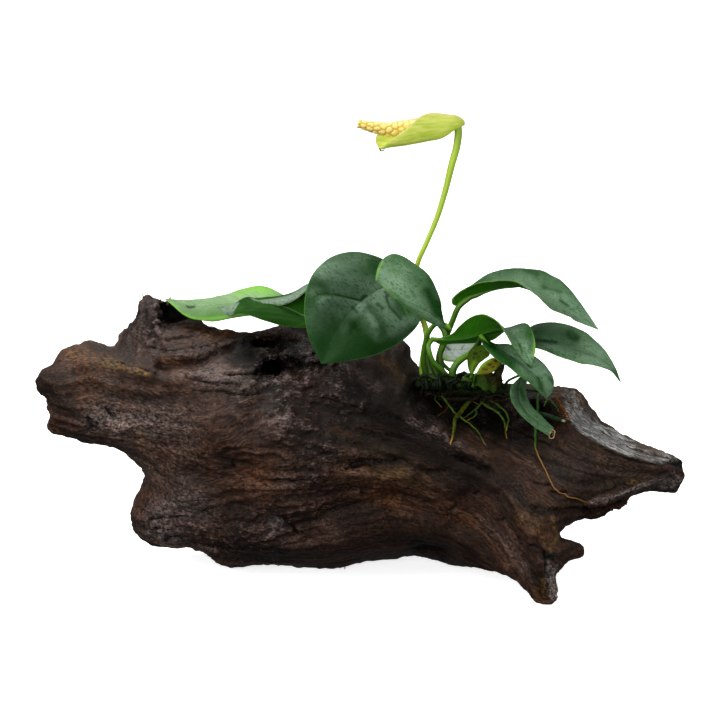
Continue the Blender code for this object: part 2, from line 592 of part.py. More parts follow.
def driftwood(collection, cutters):
    wood = wood_blank(collection)
    cut(wood, floor_cutter(cutters))
    for ends in FORK_CUTS:
        cut(wood, fork_cutter(ends, cutters))
    whole = bmesh.new()
    whole.from_mesh(wood.data)
    pieces = []
    for body in islands(whole):
        part = whole.copy()
        part.verts.ensure_lookup_table()
        kept = {vert.index for vert in body}
        bmesh.ops.delete(part, geom=[v for v in part.verts if v.index not in kept], context="VERTS")
        bmesh.ops.triangulate(part, faces=part.faces)
        bmesh.ops.dissolve_degenerate(part, edges=part.edges, dist=0.00001)
        name = limb_of(part)
        if name and part.calc_volume() * 1e9 > 50:
            mesh = bpy.data.meshes.new(name)
            part.to_mesh(mesh)
            limb = new_object(name, mesh, collection)
            paint(limb, "wood")
            pieces.append(limb)
        part.free()
    whole.free()
    bpy.data.objects.remove(wood, do_unlink=True)
    return pieces


# Leaves and flower

def sheet_object(name, columns, thickness, finish, collection):
    """An open sheet from its points, stations by columns, with Solidify."""
    stations, across = columns.shape[:2]
    shape = bmesh.new()
    bmesh.ops.create_grid(shape, x_segments=stations - 1, y_segments=across - 1, size=1)
    for vert in shape.verts:
        station = round((vert.co.x + 1) / 2 * (stations - 1))
        column = round((vert.co.y + 1) / 2 * (across - 1))
        vert.co = columns[station, column]
    bmesh.ops.remove_doubles(shape, verts=shape.verts, dist=0.00003)
    mesh = bpy.data.meshes.new(name)
    shape.to_mesh(mesh)
    shape.free()
    sheet = new_object(name, mesh, collection)
    solid = sheet.modifiers.new("Solidify", "SOLIDIFY")
    solid.thickness = thickness * MM
    solid.offset = 0
    paint(sheet, finish)
    return sheet


def station_shares(count):
    """Shares of a leaf's length, closer together towards its two ends."""
    return (1 - np.cos(np.linspace(0, math.pi, count))) / 2


def leaf(name, midrib, far, near, bulge, finish, collection):
    shares = station_shares(LEAF_STATIONS)
    rib, far_edge, near_edge = (placed(*along(rail, shares).T) for rail in (midrib, far, near))
    run = np.gradient(rib, axis=0)
    facing = np.cross(run, far_edge - near_edge)
    facing /= np.linalg.norm(facing, axis=1)[:, None] + 1e-12
    points = np.empty((LEAF_STATIONS, LEAF_COLUMNS, 3))
    for column, side in enumerate(np.linspace(-1, 1, LEAF_COLUMNS)):
        edge = far_edge if side > 0 else near_edge
        out = abs(side)
        swell = bulge * MM * 4 * out * (1 - out) * np.sin(math.pi * shares)[:, None]
        points[:, column] = rib + (edge - rib) * out + facing * swell
    return sheet_object(name, points, LEAF_THICKNESS, finish, collection)


def spathe(collection):
    """A boat on a keel: each side leaves the keel flat and turns up to its rim."""
    shares = station_shares(SPATHE_STATIONS)
    keel, far, near = (along(rail, shares) for rail in SPATHE)
    points = np.empty((SPATHE_STATIONS, SPATHE_COLUMNS, 3))
    for column, side in enumerate(np.linspace(-1, 1, SPATHE_COLUMNS)):
        rim = far if side > 0 else near
        turn = abs(side) * math.pi / 2
        rise = keel[:, :2] + (rim - keel)[:, :2] * (1 - math.cos(turn))
        out = keel[:, 2] + (rim - keel)[:, 2] * math.sin(turn)
        points[:, column] = placed(rise[:, 0], rise[:, 1], out)
    return sheet_object("spathe", points, SPATHE_THICKNESS, "spathe", collection)


# Tubes

def tube(name, path, radii, finish, collection, rings=2):
    """A round rod along path, points in metres, its radii in millimetres spread evenly along it."""
    curve = bpy.data.curves.new(name, "CURVE")
    curve.dimensions = "3D"
    curve.bevel_depth = MM
    curve.bevel_resolution = rings
    curve.use_fill_caps = True
    spline = curve.splines.new("POLY")
    spline.points.add(len(path) - 1)
    shares = np.linspace(0, 1, len(path))
    widths = np.interp(shares, np.linspace(0, 1, len(radii)), radii)
    for point, spot, width in zip(spline.points, path, widths):
        point.co = (*spot, 1)
        point.radius = width
    rod = new_object(name, curve, collection)
    mesh = evaluated_mesh(rod)
    weld(mesh)
    bpy.data.objects.remove(rod, do_unlink=True)
    rod = new_object(name, mesh, collection)
    paint(rod, finish)
    return rod


def even_path(points, step):
    count = max(3, round(length_of(points) / step) + 1)
    spots = along(points, np.linspace(0, 1, count))
    return [place(*spot) for spot in spots]


def ease_off(path, radius, obstacles):
    """Moves each point of a path until a tube round it clears the obstacles."""
    clear = (radius + GAP) * MM
    for _ in range(8):
        for tree in obstacles:
            for index, spot in enumerate(path):
                near, facing, _, distance = tree.find_nearest(spot)
                away = spot - near
                if distance < DEEPEST * MM and away.dot(facing) < 0:
                    path[index] = near + facing * clear
                elif distance < clear:
                    path[index] = near + away.normalized() * clear
    return path


def touches(item, tree):
    return bool(tree_of(item).overlap(tree))


def draped(points, radius, wood_trees):
    """Spots that lie on the wood under points of the sheet, a little more than a radius out."""
    spots = []
    for u, v in points:
        eye, far = place(u, v, 120), place(u, v, -120)
        hits = [tree.ray_cast(eye, far - eye) for tree in wood_trees]
        hits = [hit for hit in hits if hit[0] is not None]
        if hits:
            spot, facing, _, _ = min(hits, key=lambda hit: hit[3])
            spots.append(spot + facing * (radius + GAP) * MM)
    return spots


def rooted(name, radius, start, points, wood_trees, others, collection):
    """A root from the rhizome over the wood; it is lifted until it touches nothing."""
    for lift in (0, 0.2, 0.4, 0.7, 1.0, 1.4):
        spots = ([start] if start else []) + draped(points, radius + lift, wood_trees)
        step = ROOT_STEP * MM
        count = max(4, round(length_of(spots) / step) + 1)
        path = [Vector(spot) for spot in along(spots, np.linspace(0, 1, count))]
        path = ease_off(path, radius + lift, wood_trees + others)
        root = tube(name, path, (radius, radius, radius * 0.8, radius * 0.45), "root", collection, 1)
        if lift == 1.4 or not any(touches(root, tree) for tree in wood_trees + others):
            return root
        bpy.data.objects.remove(root, do_unlink=True)


def sleeve(path, collection):
    """The rhizome with the gap that stems and roots keep from it."""
    radii = [radius + GAP for radius in RHIZOME_RADII]
    longer = list(path)
    longer[0] = path[0] + (path[0] - path[1]).normalized() * GAP * MM
    longer[-1] = path[-1] + (path[-1] - path[-2]).normalized() * GAP * MM
    made = tube("rhizome_sleeve", longer, radii, "rhizome", collection)
    made.hide_render = True
    made.display_type = "WIRE"
    return made


def keep_biggest(item):
    shape = bmesh.new()
    shape.from_mesh(item.data)
    bodies = sorted(islands(shape), key=len)
    bmesh.ops.delete(shape, geom=[v for body in bodies[:-1] for v in body], context="VERTS")
    shape.to_mesh(item.data)
    shape.free()


def plant(collection, cutters, wood):
    wood_trees = [tree_of(item) for item in wood]
    path = ease_off(even_path(RHIZOME, 3), max(RHIZOME_RADII), wood_trees)
    tube("rhizome", path, RHIZOME_RADII, "rhizome", collection)
    around_rhizome = sleeve(path, cutters)
    others = []
    grown = {}
    for name, (low, high, points) in STEMS.items():
        path = ease_off(even_path(points, STEM_STEP), max(low, high), wood_trees + others)
        grown[name] = tube(name, path, (low, high), "stem", collection)
        others.append(tree_of(grown[name]))
    path = even_path(FLOWER_STALK, 8)
    path[:6] = ease_off(path[:6], 1.1, wood_trees + others)
    grown["flower_stalk"] = tube("flower_stalk", path, STALK_RADII, "stalk", collection)
    others.append(tree_of(grown["flower_stalk"]))
    for name, (radius, start, points) in ROOTS.items():
        root = rooted(name, radius, place(*start), points, wood_trees, others, collection)
        grown[name] = root
        others.append(tree_of(root))
    for item in grown.values():
        cut(item, around_rhizome)
        keep_biggest(item)
    for name, (radius, points) in LOOSE.items():
        root = rooted(name, radius, None, points, wood_trees, others, collection)
        others.append(tree_of(root))


def leaves(collection):
    finishes = {"leaf_far_left": "pale_leaf", "leaf_pale_back": "pale_leaf", "leaf_yellow_spotted": "yellow_leaf"}
    for name, (midrib, far, near, bulge) in LEAVES.items():
        leaf(name, midrib, far, near, bulge, finishes.get(name, "leaf"), collection)


def flower(collection):
    spathe(collection)
    tube("spadix", even_path(SPADIX, 2.6), SPADIX_RADII, "spadix", collection)


def main():
    clear_scene()
    parts = new_collection("anubias_on_driftwood")
    cutters = new_collection("cutters")
    cutters.hide_render = True
    wood = driftwood(parts, cutters)
    leaves(parts)
    plant(parts, cutters, wood)
    flower(parts)


main()
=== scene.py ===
"""Dwarf anubias with one flower, rooted on a wet piece of driftwood.

Sizes in the tables are millimetres; meshes are metres. The wood, leaves and stems are drawn on a sheet
that leans back by LEAN: u runs right and v runs up the sheet, and w is how far a point stands out of it
towards the eye. A point that stands out stays on its line of sight from the eye, EYE_DISTANCE away.
"""

import math
import random

import bmesh
import bpy
import numpy as np
from bpy.props import FloatProperty, FloatVectorProperty, PointerProperty
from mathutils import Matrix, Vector, noise
from mathutils.bvhtree import BVHTree


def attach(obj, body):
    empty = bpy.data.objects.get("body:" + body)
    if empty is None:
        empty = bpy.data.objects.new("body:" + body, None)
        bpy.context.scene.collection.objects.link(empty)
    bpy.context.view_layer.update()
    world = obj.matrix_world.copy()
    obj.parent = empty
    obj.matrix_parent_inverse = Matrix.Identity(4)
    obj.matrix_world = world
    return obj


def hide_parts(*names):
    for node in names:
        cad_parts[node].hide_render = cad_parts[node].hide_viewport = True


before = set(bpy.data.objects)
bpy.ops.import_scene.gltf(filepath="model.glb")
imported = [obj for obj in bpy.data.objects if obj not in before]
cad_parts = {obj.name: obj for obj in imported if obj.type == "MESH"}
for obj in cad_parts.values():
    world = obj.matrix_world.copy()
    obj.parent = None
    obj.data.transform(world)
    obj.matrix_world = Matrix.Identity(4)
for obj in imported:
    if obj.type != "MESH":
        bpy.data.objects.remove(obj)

bl_info = {
    "name": "Anubias on driftwood",
    "version": (1, 0, 0),
    "blender": (4, 5, 0),
    "location": "View3D > Sidebar > Anubias",
    "description": "Builds a dwarf anubias with its flower on a piece of wet driftwood",
    "category": "Object",
}

MM = 0.001
EYE_DISTANCE = 1200
LEAN = math.radians(15)
SHEET_MIDDLE = (-0.25, -4.45, 86.5)
SHEET_LEFT, SHEET_RIGHT, SHEET_LOW, SHEET_HIGH = -130, 130, -100, 30
LENS = 154.8
WELD = 0.02 * MM

WOOD_NODES = (
    "wood_trunk", "wood_left_arm", "wood_horn", "wood_lower_lobe", "wood_right_arm", "wood_right_foot",
    "wood_knob",
)

# The driftwood's outline, clockwise from the notch between the left arm and the horn
WOOD_OUTLINE = (
    (-95, 4), (-93, 7), (-92, 9.5), (-89, 14), (-87, 16), (-86, 19.5), (-85, 22.5), (-83.5, 25), (-82, 25),
    (-80, 23.5), (-76.5, 23), (-74.5, 22.5), (-73.5, 24.5), (-71.5, 22), (-67.5, 18.5), (-63, 15.5),
    (-60.5, 13.5), (-54.5, 11), (-46.5, 10), (-38, 11), (-31, 12.5), (-26.5, 15), (-22, 17.5), (-14.5, 18),
    (-6, 16.5), (3, 11.5), (11.5, 7.5), (17, 8), (19.5, 5.5), (19.5, 1), (22.5, -2.5), (25.5, -6.5),
    (32, -9.5), (42.5, -11), (54.5, -9.5), (66, -9.5), (72, -11), (77.5, -9.5), (81.5, -11), (84, -11),
    (88, -15.5), (89, -18), (93, -24), (101, -29), (110.5, -33), (120, -36.5), (125.5, -38.5), (125, -41),
    (124.5, -48), (123, -51), (118, -51.5), (110.5, -51), (104.5, -52.5), (103, -54.5), (103, -56),
    (97.5, -58), (92, -61), (87.5, -60.5), (80.5, -63), (78.5, -65.5), (76.5, -66.5), (77, -69),
    (82, -69.5), (86.5, -71.5), (87.5, -73.5), (85.5, -76), (82.5, -76.5), (79.5, -78), (78.5, -81.5),
    (76, -82), (76, -85.5), (76.5, -90.5), (76, -94), (73.8, -96.4), (71, -95.8), (68, -93.6), (62.5, -87),
    (58.5, -84.5), (52.5, -82), (45.5, -80.5), (39, -79.5), (32, -78.5), (26.5, -77), (21.5, -75.5),
    (14, -77), (6, -77.5), (-1, -78.5), (-6, -80), (-12.5, -81), (-25, -80), (-33.5, -79), (-44, -79.5),
    (-53.5, -80), (-55.5, -78.5), (-58, -76), (-62.5, -73), (-67.5, -72), (-75.5, -72.5), (-79.5, -71.5),
    (-85, -69), (-87.5, -66.5), (-89, -62.5), (-89.5, -59.5), (-87, -55.5), (-85, -50.5), (-83.5, -46),
    (-83.5, -43.5), (-85, -41.5), (-87, -39), (-90.5, -35.5), (-94, -33.5), (-98, -32.5), (-103, -33),
    (-108, -32), (-110, -30), (-113.5, -29), (-117, -28.5), (-120, -27.5), (-121.5, -25), (-120, -24),
    (-120, -21.5), (-120.5, -17.5), (-121.5, -14.5), (-125, -13.2), (-127, -10.4), (-126.6, -7.4),
    (-123.4, -4.2), (-118.5, -1.5), (-117.5, 1.5), (-115.5, 3.5), (-112, 5), (-108, 6), (-105, 7),
    (-102, 6), (-98, 5),
)

# Where the middle of the wood lies between front and back, and how full it is: (u, v), w, fullness
WOOD_MIDDLE = (
    ((-118, -12), 6, 0.75), ((-102, -15), -1, 0.7), ((-83, 18), -18, 0.8), ((-70, 8), -14, 0.7),
    ((-62, -20), -12, 0.62), ((-75, -62), -24, 0.7), ((-52, -62), -22, 0.62), ((-20, -30), -13, 0.62),
    ((-20, -74), -26, 0.75), ((-5, 5), -11, 0.62), ((20, -72), -30, 0.75), ((20, -30), -14, 0.62),
    ((50, -16), -15, 0.6), ((84, -16), -13, 0.7), ((55, -55), -12, 0.62), ((108, -42), -8, 0.8),
    ((123, -44), -3, 0.8), ((66, -80), 6, 0.75), ((74, -92), 19, 0.8), ((84, -73), 3, 0.8),
    ((40, -76), -18, 0.7),
)
MIDDLE_REACH = 15

# Ridges (above 0) and hollows (below 0) of the front: points (u, v), width, height
FRONT_RELIEF = (
    (((-23, 2), (10, -17), (35, -30), (58, -50), (74, -74)), 8, 6),
    (((36, -20), (52, -22), (70, -24)), 10, -7),
    (((-48, -28), (-34, -32)), 14, 4),
    (((-40, 6), (-33, 5.5)), 3.2, -8),
    (((-35, -3), (-32, -4)), 3.2, -7),
    (((-77, -3), (-66, -3.5), (-59, -1), (-45, 6)), 2.2, -3.5),
    (((-74, 18), (-66, 15)), 4, -10),
    (((-100, 1), (-92, -2), (-83, -5), (-70, -8)), 3, 2.5),
    (((-57, -9), (-47, -9.5), (-40, -10)), 2.5, 2),
    (((-66, -44), (-54, -45), (-44, -42)), 2.5, -2.5),
    (((-76, -55), (-60, -55)), 3, 2),
    (((-12, -58), (6, -52), (30, -57), (45, -63), (54, -71), (62, -79)), 6, -6),
    (((-70, -66), (-45, -72), (-15, -73), (10, -69)), 5, 3),
    (((21, -73), (33, -75)), 4, -5),
    (((-7, -42), (0, -40.5), (17, -40)), 2.5, -3),
    (((25, -44), (32, -44)), 2.5, -2.5),
    (((35, -37), (44, -40), (51, -44)), 2.2, -2.5),
    (((62, -62), (67, -74), (73, -88)), 2.5, 2.5),
    (((79, -17), (82, -24), (93, -32), (103, -37), (113, -40), (122, -43)), 3, 3.5),
    (((95, -47), (112, -47)), 5, -2.5),
    (((-112, -2), (-104, -10), (-98, -20)), 4, -2.5),
    (((-118, -14), (-106, -24), (-92, -27)), 3.5, 2),
)
# The same for the back; the broad low bulge is what the wood rests on there
BACK_RELIEF = (
    (((2, -62), (14, -63)), 13, 13),
    (((-110, -8), (-85, -14), (-60, -24), (-30, -30)), 5, 4),
    (((-80, -20), (-55, -40), (-30, -50)), 4, -5),
    (((-20, 4), (10, -12), (40, -24), (70, -36)), 6, 5),
    (((-10, -22), (20, -34), (50, -52)), 5, -6),
    (((40, -14), (60, -26), (84, -36), (110, -44)), 4, 4),
    (((-50, -8), (-38, 0)), 6, -6),
    (((30, -62), (56, -74), (70, -86)), 4, 3),
)
RELIEF_FADE = 7
LUMPS = ((0.07, 1.8), (0.17, 0.8))

# Leaves: rails along the midrib, the far edge and the near edge, each from the stem to the tip, as
# (u, v, w); then how far the two halves bulge between midrib and edge
LEAVES = {
    "leaf_far_left": (
        ((-24, 21.5, -17), (-35, 23, -15), (-44.5, 22.5, -14), (-54.5, 21.5, -13), (-65, 21, -12),
         (-75.5, 23.5, -11)),
        ((-24, 21.5, -17), (-29.5, 25, -24), (-38, 28.5, -29), (-45.5, 27, -30), (-52.5, 24.5, -28),
         (-62, 23, -22), (-75.5, 23.5, -11)),
        ((-24, 21.5, -17), (-31, 18, -8), (-44.5, 17, -3), (-57.5, 15, -1), (-66.5, 16.5, -3),
         (-72.5, 21, -7), (-75.5, 23.5, -11)),
        -1.5,
    ),
    "leaf_left_twisted": (
        ((-14, 14.5, 9), (-21.5, 17, 6), (-30, 20.5, 4), (-38, 21.5, 4), (-44, 21.4, 3), (-48.8, 19.6, 3),
         (-55.3, 20.4, 2)),
        ((-14, 14.5, 9), (-16.5, 27, -1), (-20, 29.5, -5), (-24, 27, -5), (-28.5, 25, -5),
         (-35.5, 24, -5), (-40, 23.8, -4), (-43.4, 24.4, -3), (-46.6, 23, -1), (-50, 20.8, 1),
         (-55.3, 20.4, 2)),
        ((-14, 14.5, 9), (-21.5, 12.5, 10), (-28, 13, 10), (-36.4, 15, 11), (-43, 17.4, 10),
         (-47.6, 17.8, 8), (-50.4, 17, 6), (-55.3, 20.4, 2)),
        -1,
    ),
    "leaf_big_round": (
        ((12.5, 29, 3), (6, 26.5, 8), (-2, 20.5, 14), (-9, 12, 20), (-13, 4, 24), (-15, -1.5, 26)),
        ((12.5, 29, 3), (11, 37, 0), (1, 41.5, 1), (-9.5, 40.5, 8), (-19, 32, 16), (-21.5, 21.5, 21),
         (-20, 9.5, 25), (-15, -1.5, 26)),
        ((12.5, 29, 3), (18.5, 30, 2), (24, 23.5, 5), (23.5, 16, 9), (17, 8, 15), (7, 2.5, 20),
         (-6, -0.5, 25), (-15, -1.5, 26)),
        -2,
    ),
    "leaf_over_big": (
        ((34.5, 11.5, 26), (29.5, 16, 31), (23.5, 20, 35), (16.5, 23.5, 36), (10.5, 27.5, 34), (6, 31, 30)),
        ((34.5, 11.5, 26), (32, 15.5, 25), (31.5, 21.5, 22), (29.5, 27, 20), (26, 33.4, 19),
         (20.6, 37.6, 19), (16.4, 40.2, 20), (12.5, 41, 22), (8, 38, 26), (6, 31, 30)),
        ((34.5, 11.5, 26), (30, 13, 32), (23.5, 16.5, 36), (17.5, 20.5, 37), (11, 26.5, 35), (6, 31, 30)),
        -1,
    ),
    "leaf_tall_arching": (
        ((37.6, 20.8, 6.5), (41, 23.5, 7), (46.5, 26, 8), (53.5, 28, 9), (59.5, 28.5, 10), (66, 27.5, 10),
         (73.5, 24.5, 9), (82.5, 19.5, 7), (92.3, 11.8, 6)),
        ((37.6, 20.8, 6.5), (36, 21.4, 5), (35.6, 23.2, 3), (37.6, 25.4, 1), (43.5, 29, -4),
         (51, 33.7, -10), (61.5, 35.6, -13), (69, 34.8, -12), (77.5, 30.8, -8),
         (82, 26.5, -4), (86.8, 20, 1), (92.3, 11.8, 6)),
        ((37.6, 20.8, 6.5), (36.2, 21.8, 7.4), (36.2, 23.8, 9), (38, 25.8, 11), (42, 28.2, 13),
         (48, 30, 17), (54.5, 30.5, 20), (60.5, 30, 22), (67.5, 25, 22), (73, 20, 19),
         (81.8, 15.8, 13), (92.3, 11.8, 6)),
        1,
    ),
    "leaf_twisted_middle": (
        ((28, 8, 12), (35.5, 8, 12), (43, 9, 13), (49.5, 11, 14), (55.5, 12, 16), (60, 8.5, 20),
         (64, 3, 25), (66.5, -2.5, 28)),
        ((28, 8, 12), (35.5, 10, 13), (38.5, 13, 15), (43, 16.5, 18), (48, 17.5, 21), (52.5, 15.5, 24),
         (55.5, 12, 25), (57.5, 8.5, 25), (60, 4.5, 25), (63.5, 0, 26), (66.5, -2.5, 28)),
        ((28, 8, 12), (30, 6.5, 11), (37, 6.5, 9), (46.5, 7, 7), (51.5, 8, 6), (55.5, 11, 6),
         (59.5, 13, 10), (64.5, 14, 15), (67, 10.5, 20), (68, 4, 25), (66.5, -2.5, 28)),
        0,
    ),
    "leaf_right_long": (
        ((60.5, 6.5, 1), (68, 8, 2), (77.5, 7.5, 3), (87, 4.5, 4), (95, -1, 5), (101, -8.5, 6)),
        ((60.5, 6.5, 1), (63, 10, -3), (68, 13.5, -8), (75, 14.5, -10), (80.5, 13.5, -10), (87, 10.5, -8),
         (93, 5.5, -4), (97.5, -0.5, 0), (101, -8.5, 6)),
        ((60.5, 6.5, 1), (64.5, 5.5, 5), (72, 3.5, 10), (77.5, 1, 12), (84, -1, 13), (92.5, -2.5, 12),
         (97.5, -4.5, 9), (101, -8.5, 6)),
        1.2,
    ),
    "leaf_low_right": (
        ((47, 9, 17), (51, 5.5, 19), (56, 2.5, 21), (62, -1, 23), (68, -6, 24), (71, -11, 24),
         (72, -15, 23)),
        ((47, 9, 17), (49, 8, 15), (52.5, 6, 14), (57, 6, 15), (62, 4.5, 16), (68, 1, 17), (72, -2.5, 19),
         (75, -8, 21), (74.5, -12, 22), (72, -15, 23)),
        ((47, 9, 17), (47.5, 6, 20), (50, 3, 24), (53, 0, 26), (58, -3, 28), (63, -7, 29), (68, -11, 28),
         (70.5, -13.5, 26), (72, -15, 23)),
        1,
    ),
    "leaf_cut_hanging": (
        ((63, -5.5, 17), (61.5, -9.5, 18), (61.5, -14.5, 18), (64, -19.5, 18), (69, -24, 18),
         (74, -28, 18)),
        ((63, -5.5, 17), (64.5, -7.5, 15), (64, -11, 14), (64.5, -14, 14), (67, -18.5, 14),
         (71, -22.5, 15), (75, -26.5, 16)),
        ((63, -5.5, 17), (61, -7.5, 19), (58.5, -10.5, 20), (58.5, -15.5, 20), (61.5, -20.5, 20),
         (67, -25.5, 20), (73.5, -29.5, 19)),
        0.5,
    ),
    "leaf_pale_back": (
        ((31.5, 3, -5), (36, 3.5, -5), (41, 4, -5), (49, 5, -6)),
        ((31.5, 3, -5), (33, 6, -10), (37, 7, -14), (43.5, 7, -13), (49, 5, -6)),
        ((31.5, 3, -5), (32.5, 0, -1), (37, -0.5, 0), (43, 2, -1), (49, 5, -6)),
        0.5,
    ),
    "leaf_small_olive": (
        ((43.3, -6, 11.5), (44.3, -2.5, 13), (46, 1, 14), (48.2, 3, 14.5), (50.3, 3.4, 14.5)),
        ((43.3, -6, 11.5), (42.4, -4, 11), (41.8, -1, 10.5), (42, 2, 10.5), (43.4, 4.4, 11),
         (46.2, 5.6, 12), (48.8, 5, 13.5), (50.3, 3.4, 14.5)),
        ((43.3, -6, 11.5), (44.6, -3.8, 13), (46.3, -1.2, 15), (48.4, 0.4, 16), (50, 1.6, 15.5),
         (50.3, 3.4, 14.5)),
        0.5,
    ),
    "leaf_yellow_spotted": (
        ((45, -5.5, 19), (48, -3.5, 22), (51.5, -1.5, 23), (55, -0.5, 23)),
        ((45, -5.5, 19), (47.5, -1.5, 19), (51, 0.5, 20), (55, -0.5, 23)),
        ((45, -5.5, 19), (48, -5.5, 23), (52, -4.5, 25), (55, -0.5, 23)),
        0.4,
    ),
    "leaf_crumpled_dark": (
        ((42.5, -7, 9), (46, -8.3, 13), (49, -8, 14.5), (52, -7.5, 14), (54, -5, 12), (56, -0.9, 8)),
        ((42.5, -7, 9), (44.5, -5.6, 9), (47, -6.6, 9.5), (50, -5, 9), (51.5, -5.8, 9), (53.2, -3, 8),
         (54.6, -2.6, 7.5), (56, -0.9, 8)),
        ((42.5, -7, 9), (44, -9.6, 12), (46.5, -10.4, 14), (48.6, -12, 14), (50.5, -11, 14.5),
         (52.2, -12.8, 13.5), (53.6, -11, 13), (55, -9.6, 12), (54.8, -6, 11.5), (55.6, -4, 10),
         (56, -0.9, 8)),
        0.8,
    ),
}

# The dried rim of the leaf that is cut off, and the dark cut inside it: points (u, v, w)
CUT_RIM = (
    (74.4, -27, 17.4), (75.4, -27.5, 17.4), (75.4, -28.8, 18), (74.6, -30.4, 18.6), (73.5, -30.2, 19),
    (73.4, -28.8, 18.8), (74.2, -27.9, 18.2), (75, -28.3, 18.4), (74.6, -29.4, 18.8),
)
CUT_FACE = ((74.6, -27.6, 17.2), (74.5, -28.8, 17.8), (74.2, -29.8, 18.2))

# The spathe: rails along its keel and its two rims, from the flower stalk to the tip
SPATHE = (
    ((37.9, 90.6, 0), (36.4, 89.3, 0), (34.6, 87.8, 0), (32.3, 86.4, 0), (25, 84.7, 0), (17, 83.2, 0),
     (11, 82.4, 0), (7.5, 81.6, 0)),
    ((37.9, 90.6, 0), (40.2, 91.2, -2), (40.2, 93, -4), (37.6, 94.8, -5.5), (33, 95.3, -6),
     (26.5, 94.6, -7), (18.5, 93.2, -7), (12, 92, -6), (7.5, 89, -4), (6, 85.5, -2), (7.5, 81.6, 0)),
    ((37.9, 90.6, 0), (40.4, 91.2, 2), (40.4, 92.8, 4), (38, 94.7, 5.5), (33.5, 95.4, 6), (27, 95.8, 6.8),
     (24, 94.9, 7.2), (21.2, 92.6, 7.4), (18.6, 90.2, 7.4), (14.5, 87, 6.5), (11.9, 85, 4.6),
     (9.5, 83.1, 2.6), (7.5, 81.6, 0)),
)
SHEATH_TIP = ((7.6, 82, 0), (8.1, 81, 0.2), (9, 81.1, 0.4), (9.5, 81.8, 0.6))
SPADIX = ((28, 91, 0), (18.5, 89.9, 0), (11.5, 89.3, 0), (5.5, 90.2, 0), (1, 91.2, 0), (-0.7, 91.6, 0))
SPADIX_RADII = (2.2, 2.7, 2.8, 2.6, 2.1, 1.5)

RHIZOME = (
    (23.5, -7, 1), (26.5, -8.5, 2), (31, -9.5, 3), (37, -10.5, 4), (42.5, -11, 4), (49, -11, 4),
    (54.5, -11, 3), (58, -11, 2),
)
RHIZOME_RADII = (1.6, 2.2, 2.6, 2.5, 2.7, 2.6, 2.3, 1.5)

# Stems: radius at the rhizome, radius at the leaf, points (u, v, w)
STEMS = {
    "stem_far_left": (0.9, 0.8, (
        (29.5, -9.5, 0), (27, -4.5, -5), (25.6, 3, -9), (25.5, 10, -11), (23.6, 16.4, -13), (17, 21.5, -16),
        (4.5, 23.5, -19), (-11.5, 24, -20), (-23, 22.3, -18))),
    "stem_left_twisted": (0.9, 0.8, (
        (32, -9.5, 2), (28.5, -3, -1), (26.4, 5, -4), (26, 11, -6), (23.6, 17, -6.5), (15.5, 21.5, -6.2),
        (6, 22, -5), (-4, 20.5, 1), (-10, 18, 6), (-13, 15.5, 8.2))),
    "stem_big_round": (1.1, 0.95, (
        (37, -9.5, 3), (31.5, -3.5, 3.5), (31, 2, 4), (33, 7.5, 5.5), (32.6, 11, 6), (29, 15.5, 5.5),
        (23, 23, 0), (14.3, 28.7, 0.6))),
    "stem_over_big": (1, 0.9, (
        (28, -9.5, 6), (25, -4, 8), (25, 4, 11), (26.5, 10.5, 14), (29.5, 14, 16), (33, 13.6, 19),
        (35, 12, 23.5))),
    "stem_tall_arching": (1.1, 1.15, (
        (34, -10, 1), (31, -4.5, -1), (30.5, 1, 0.5), (32, 6, 2.5), (34, 10.5, 4), (36, 15.5, 5.5),
        (38.2, 20.5, 7), (41.4, 23.7, 7))),
    "stem_twisted_middle": (1.1, 1, (
        (35, -10, 7), (32, -4.5, 10), (28.5, -1, 12), (27, 2.5, 13), (26.6, 6, 12.6), (27, 7.2, 12))),
    "stem_right_long": (0.9, 0.8, (
        (50.5, -11, 1), (53, -4.5, -4), (56, 2, -3), (59.7, 6, 0.2))),
    "stem_low_right": (0.6, 0.5, ((42.5, -11, 7), (42, -8.5, 9), (42.8, -7, 11), (43.3, -6, 11.5))),
    "stem_cut_hanging": (0.5, 0.5, (
        (56, -11, 4), (57, -8.5, 8.5), (59.3, -7, 13), (62, -5.8, 15.9))),
    "stem_pale_back": (0.8, 0.7, (
        (39.5, -10, 1), (36, -5, -5), (32, -1, -6.5), (31, 2.4, -5.7))),
    "stem_small_olive": (1.4, 1.05, (
        (39, -10, 7), (35.8, -5.8, 8.5), (36.9, -2.2, 9.4), (39.5, 0.4, 9), (42.5, 2.2, 8), (45.2, 5.2, 9),
        (46.5, 7.6, 13), (47, 9, 17))),
    "stem_yellow_spotted": (0.7, 0.6, (
        (46, -11, 7), (44.5, -8.5, 14), (44.5, -6.3, 18))),
}
FLOWER_STALK = (
    (25.5, -9.5, 2), (24, -4.5, 3), (24.7, 4, 2), (25.7, 9.5, 1), (24.7, 14.5, -1), (22.3, 22, -4),
    (21.5, 30, -4), (22.4, 37.5, -4), (25.6, 45, -3), (29.6, 54.5, -2), (32.9, 65, -1), (35.5, 75.5, 0),
    (37.7, 84, 0), (38.6, 87.6, 0),
)
STALK_RADII = (1.1, 1, 0.95, 0.95, 1, 1.15, 1.4, 1.55)

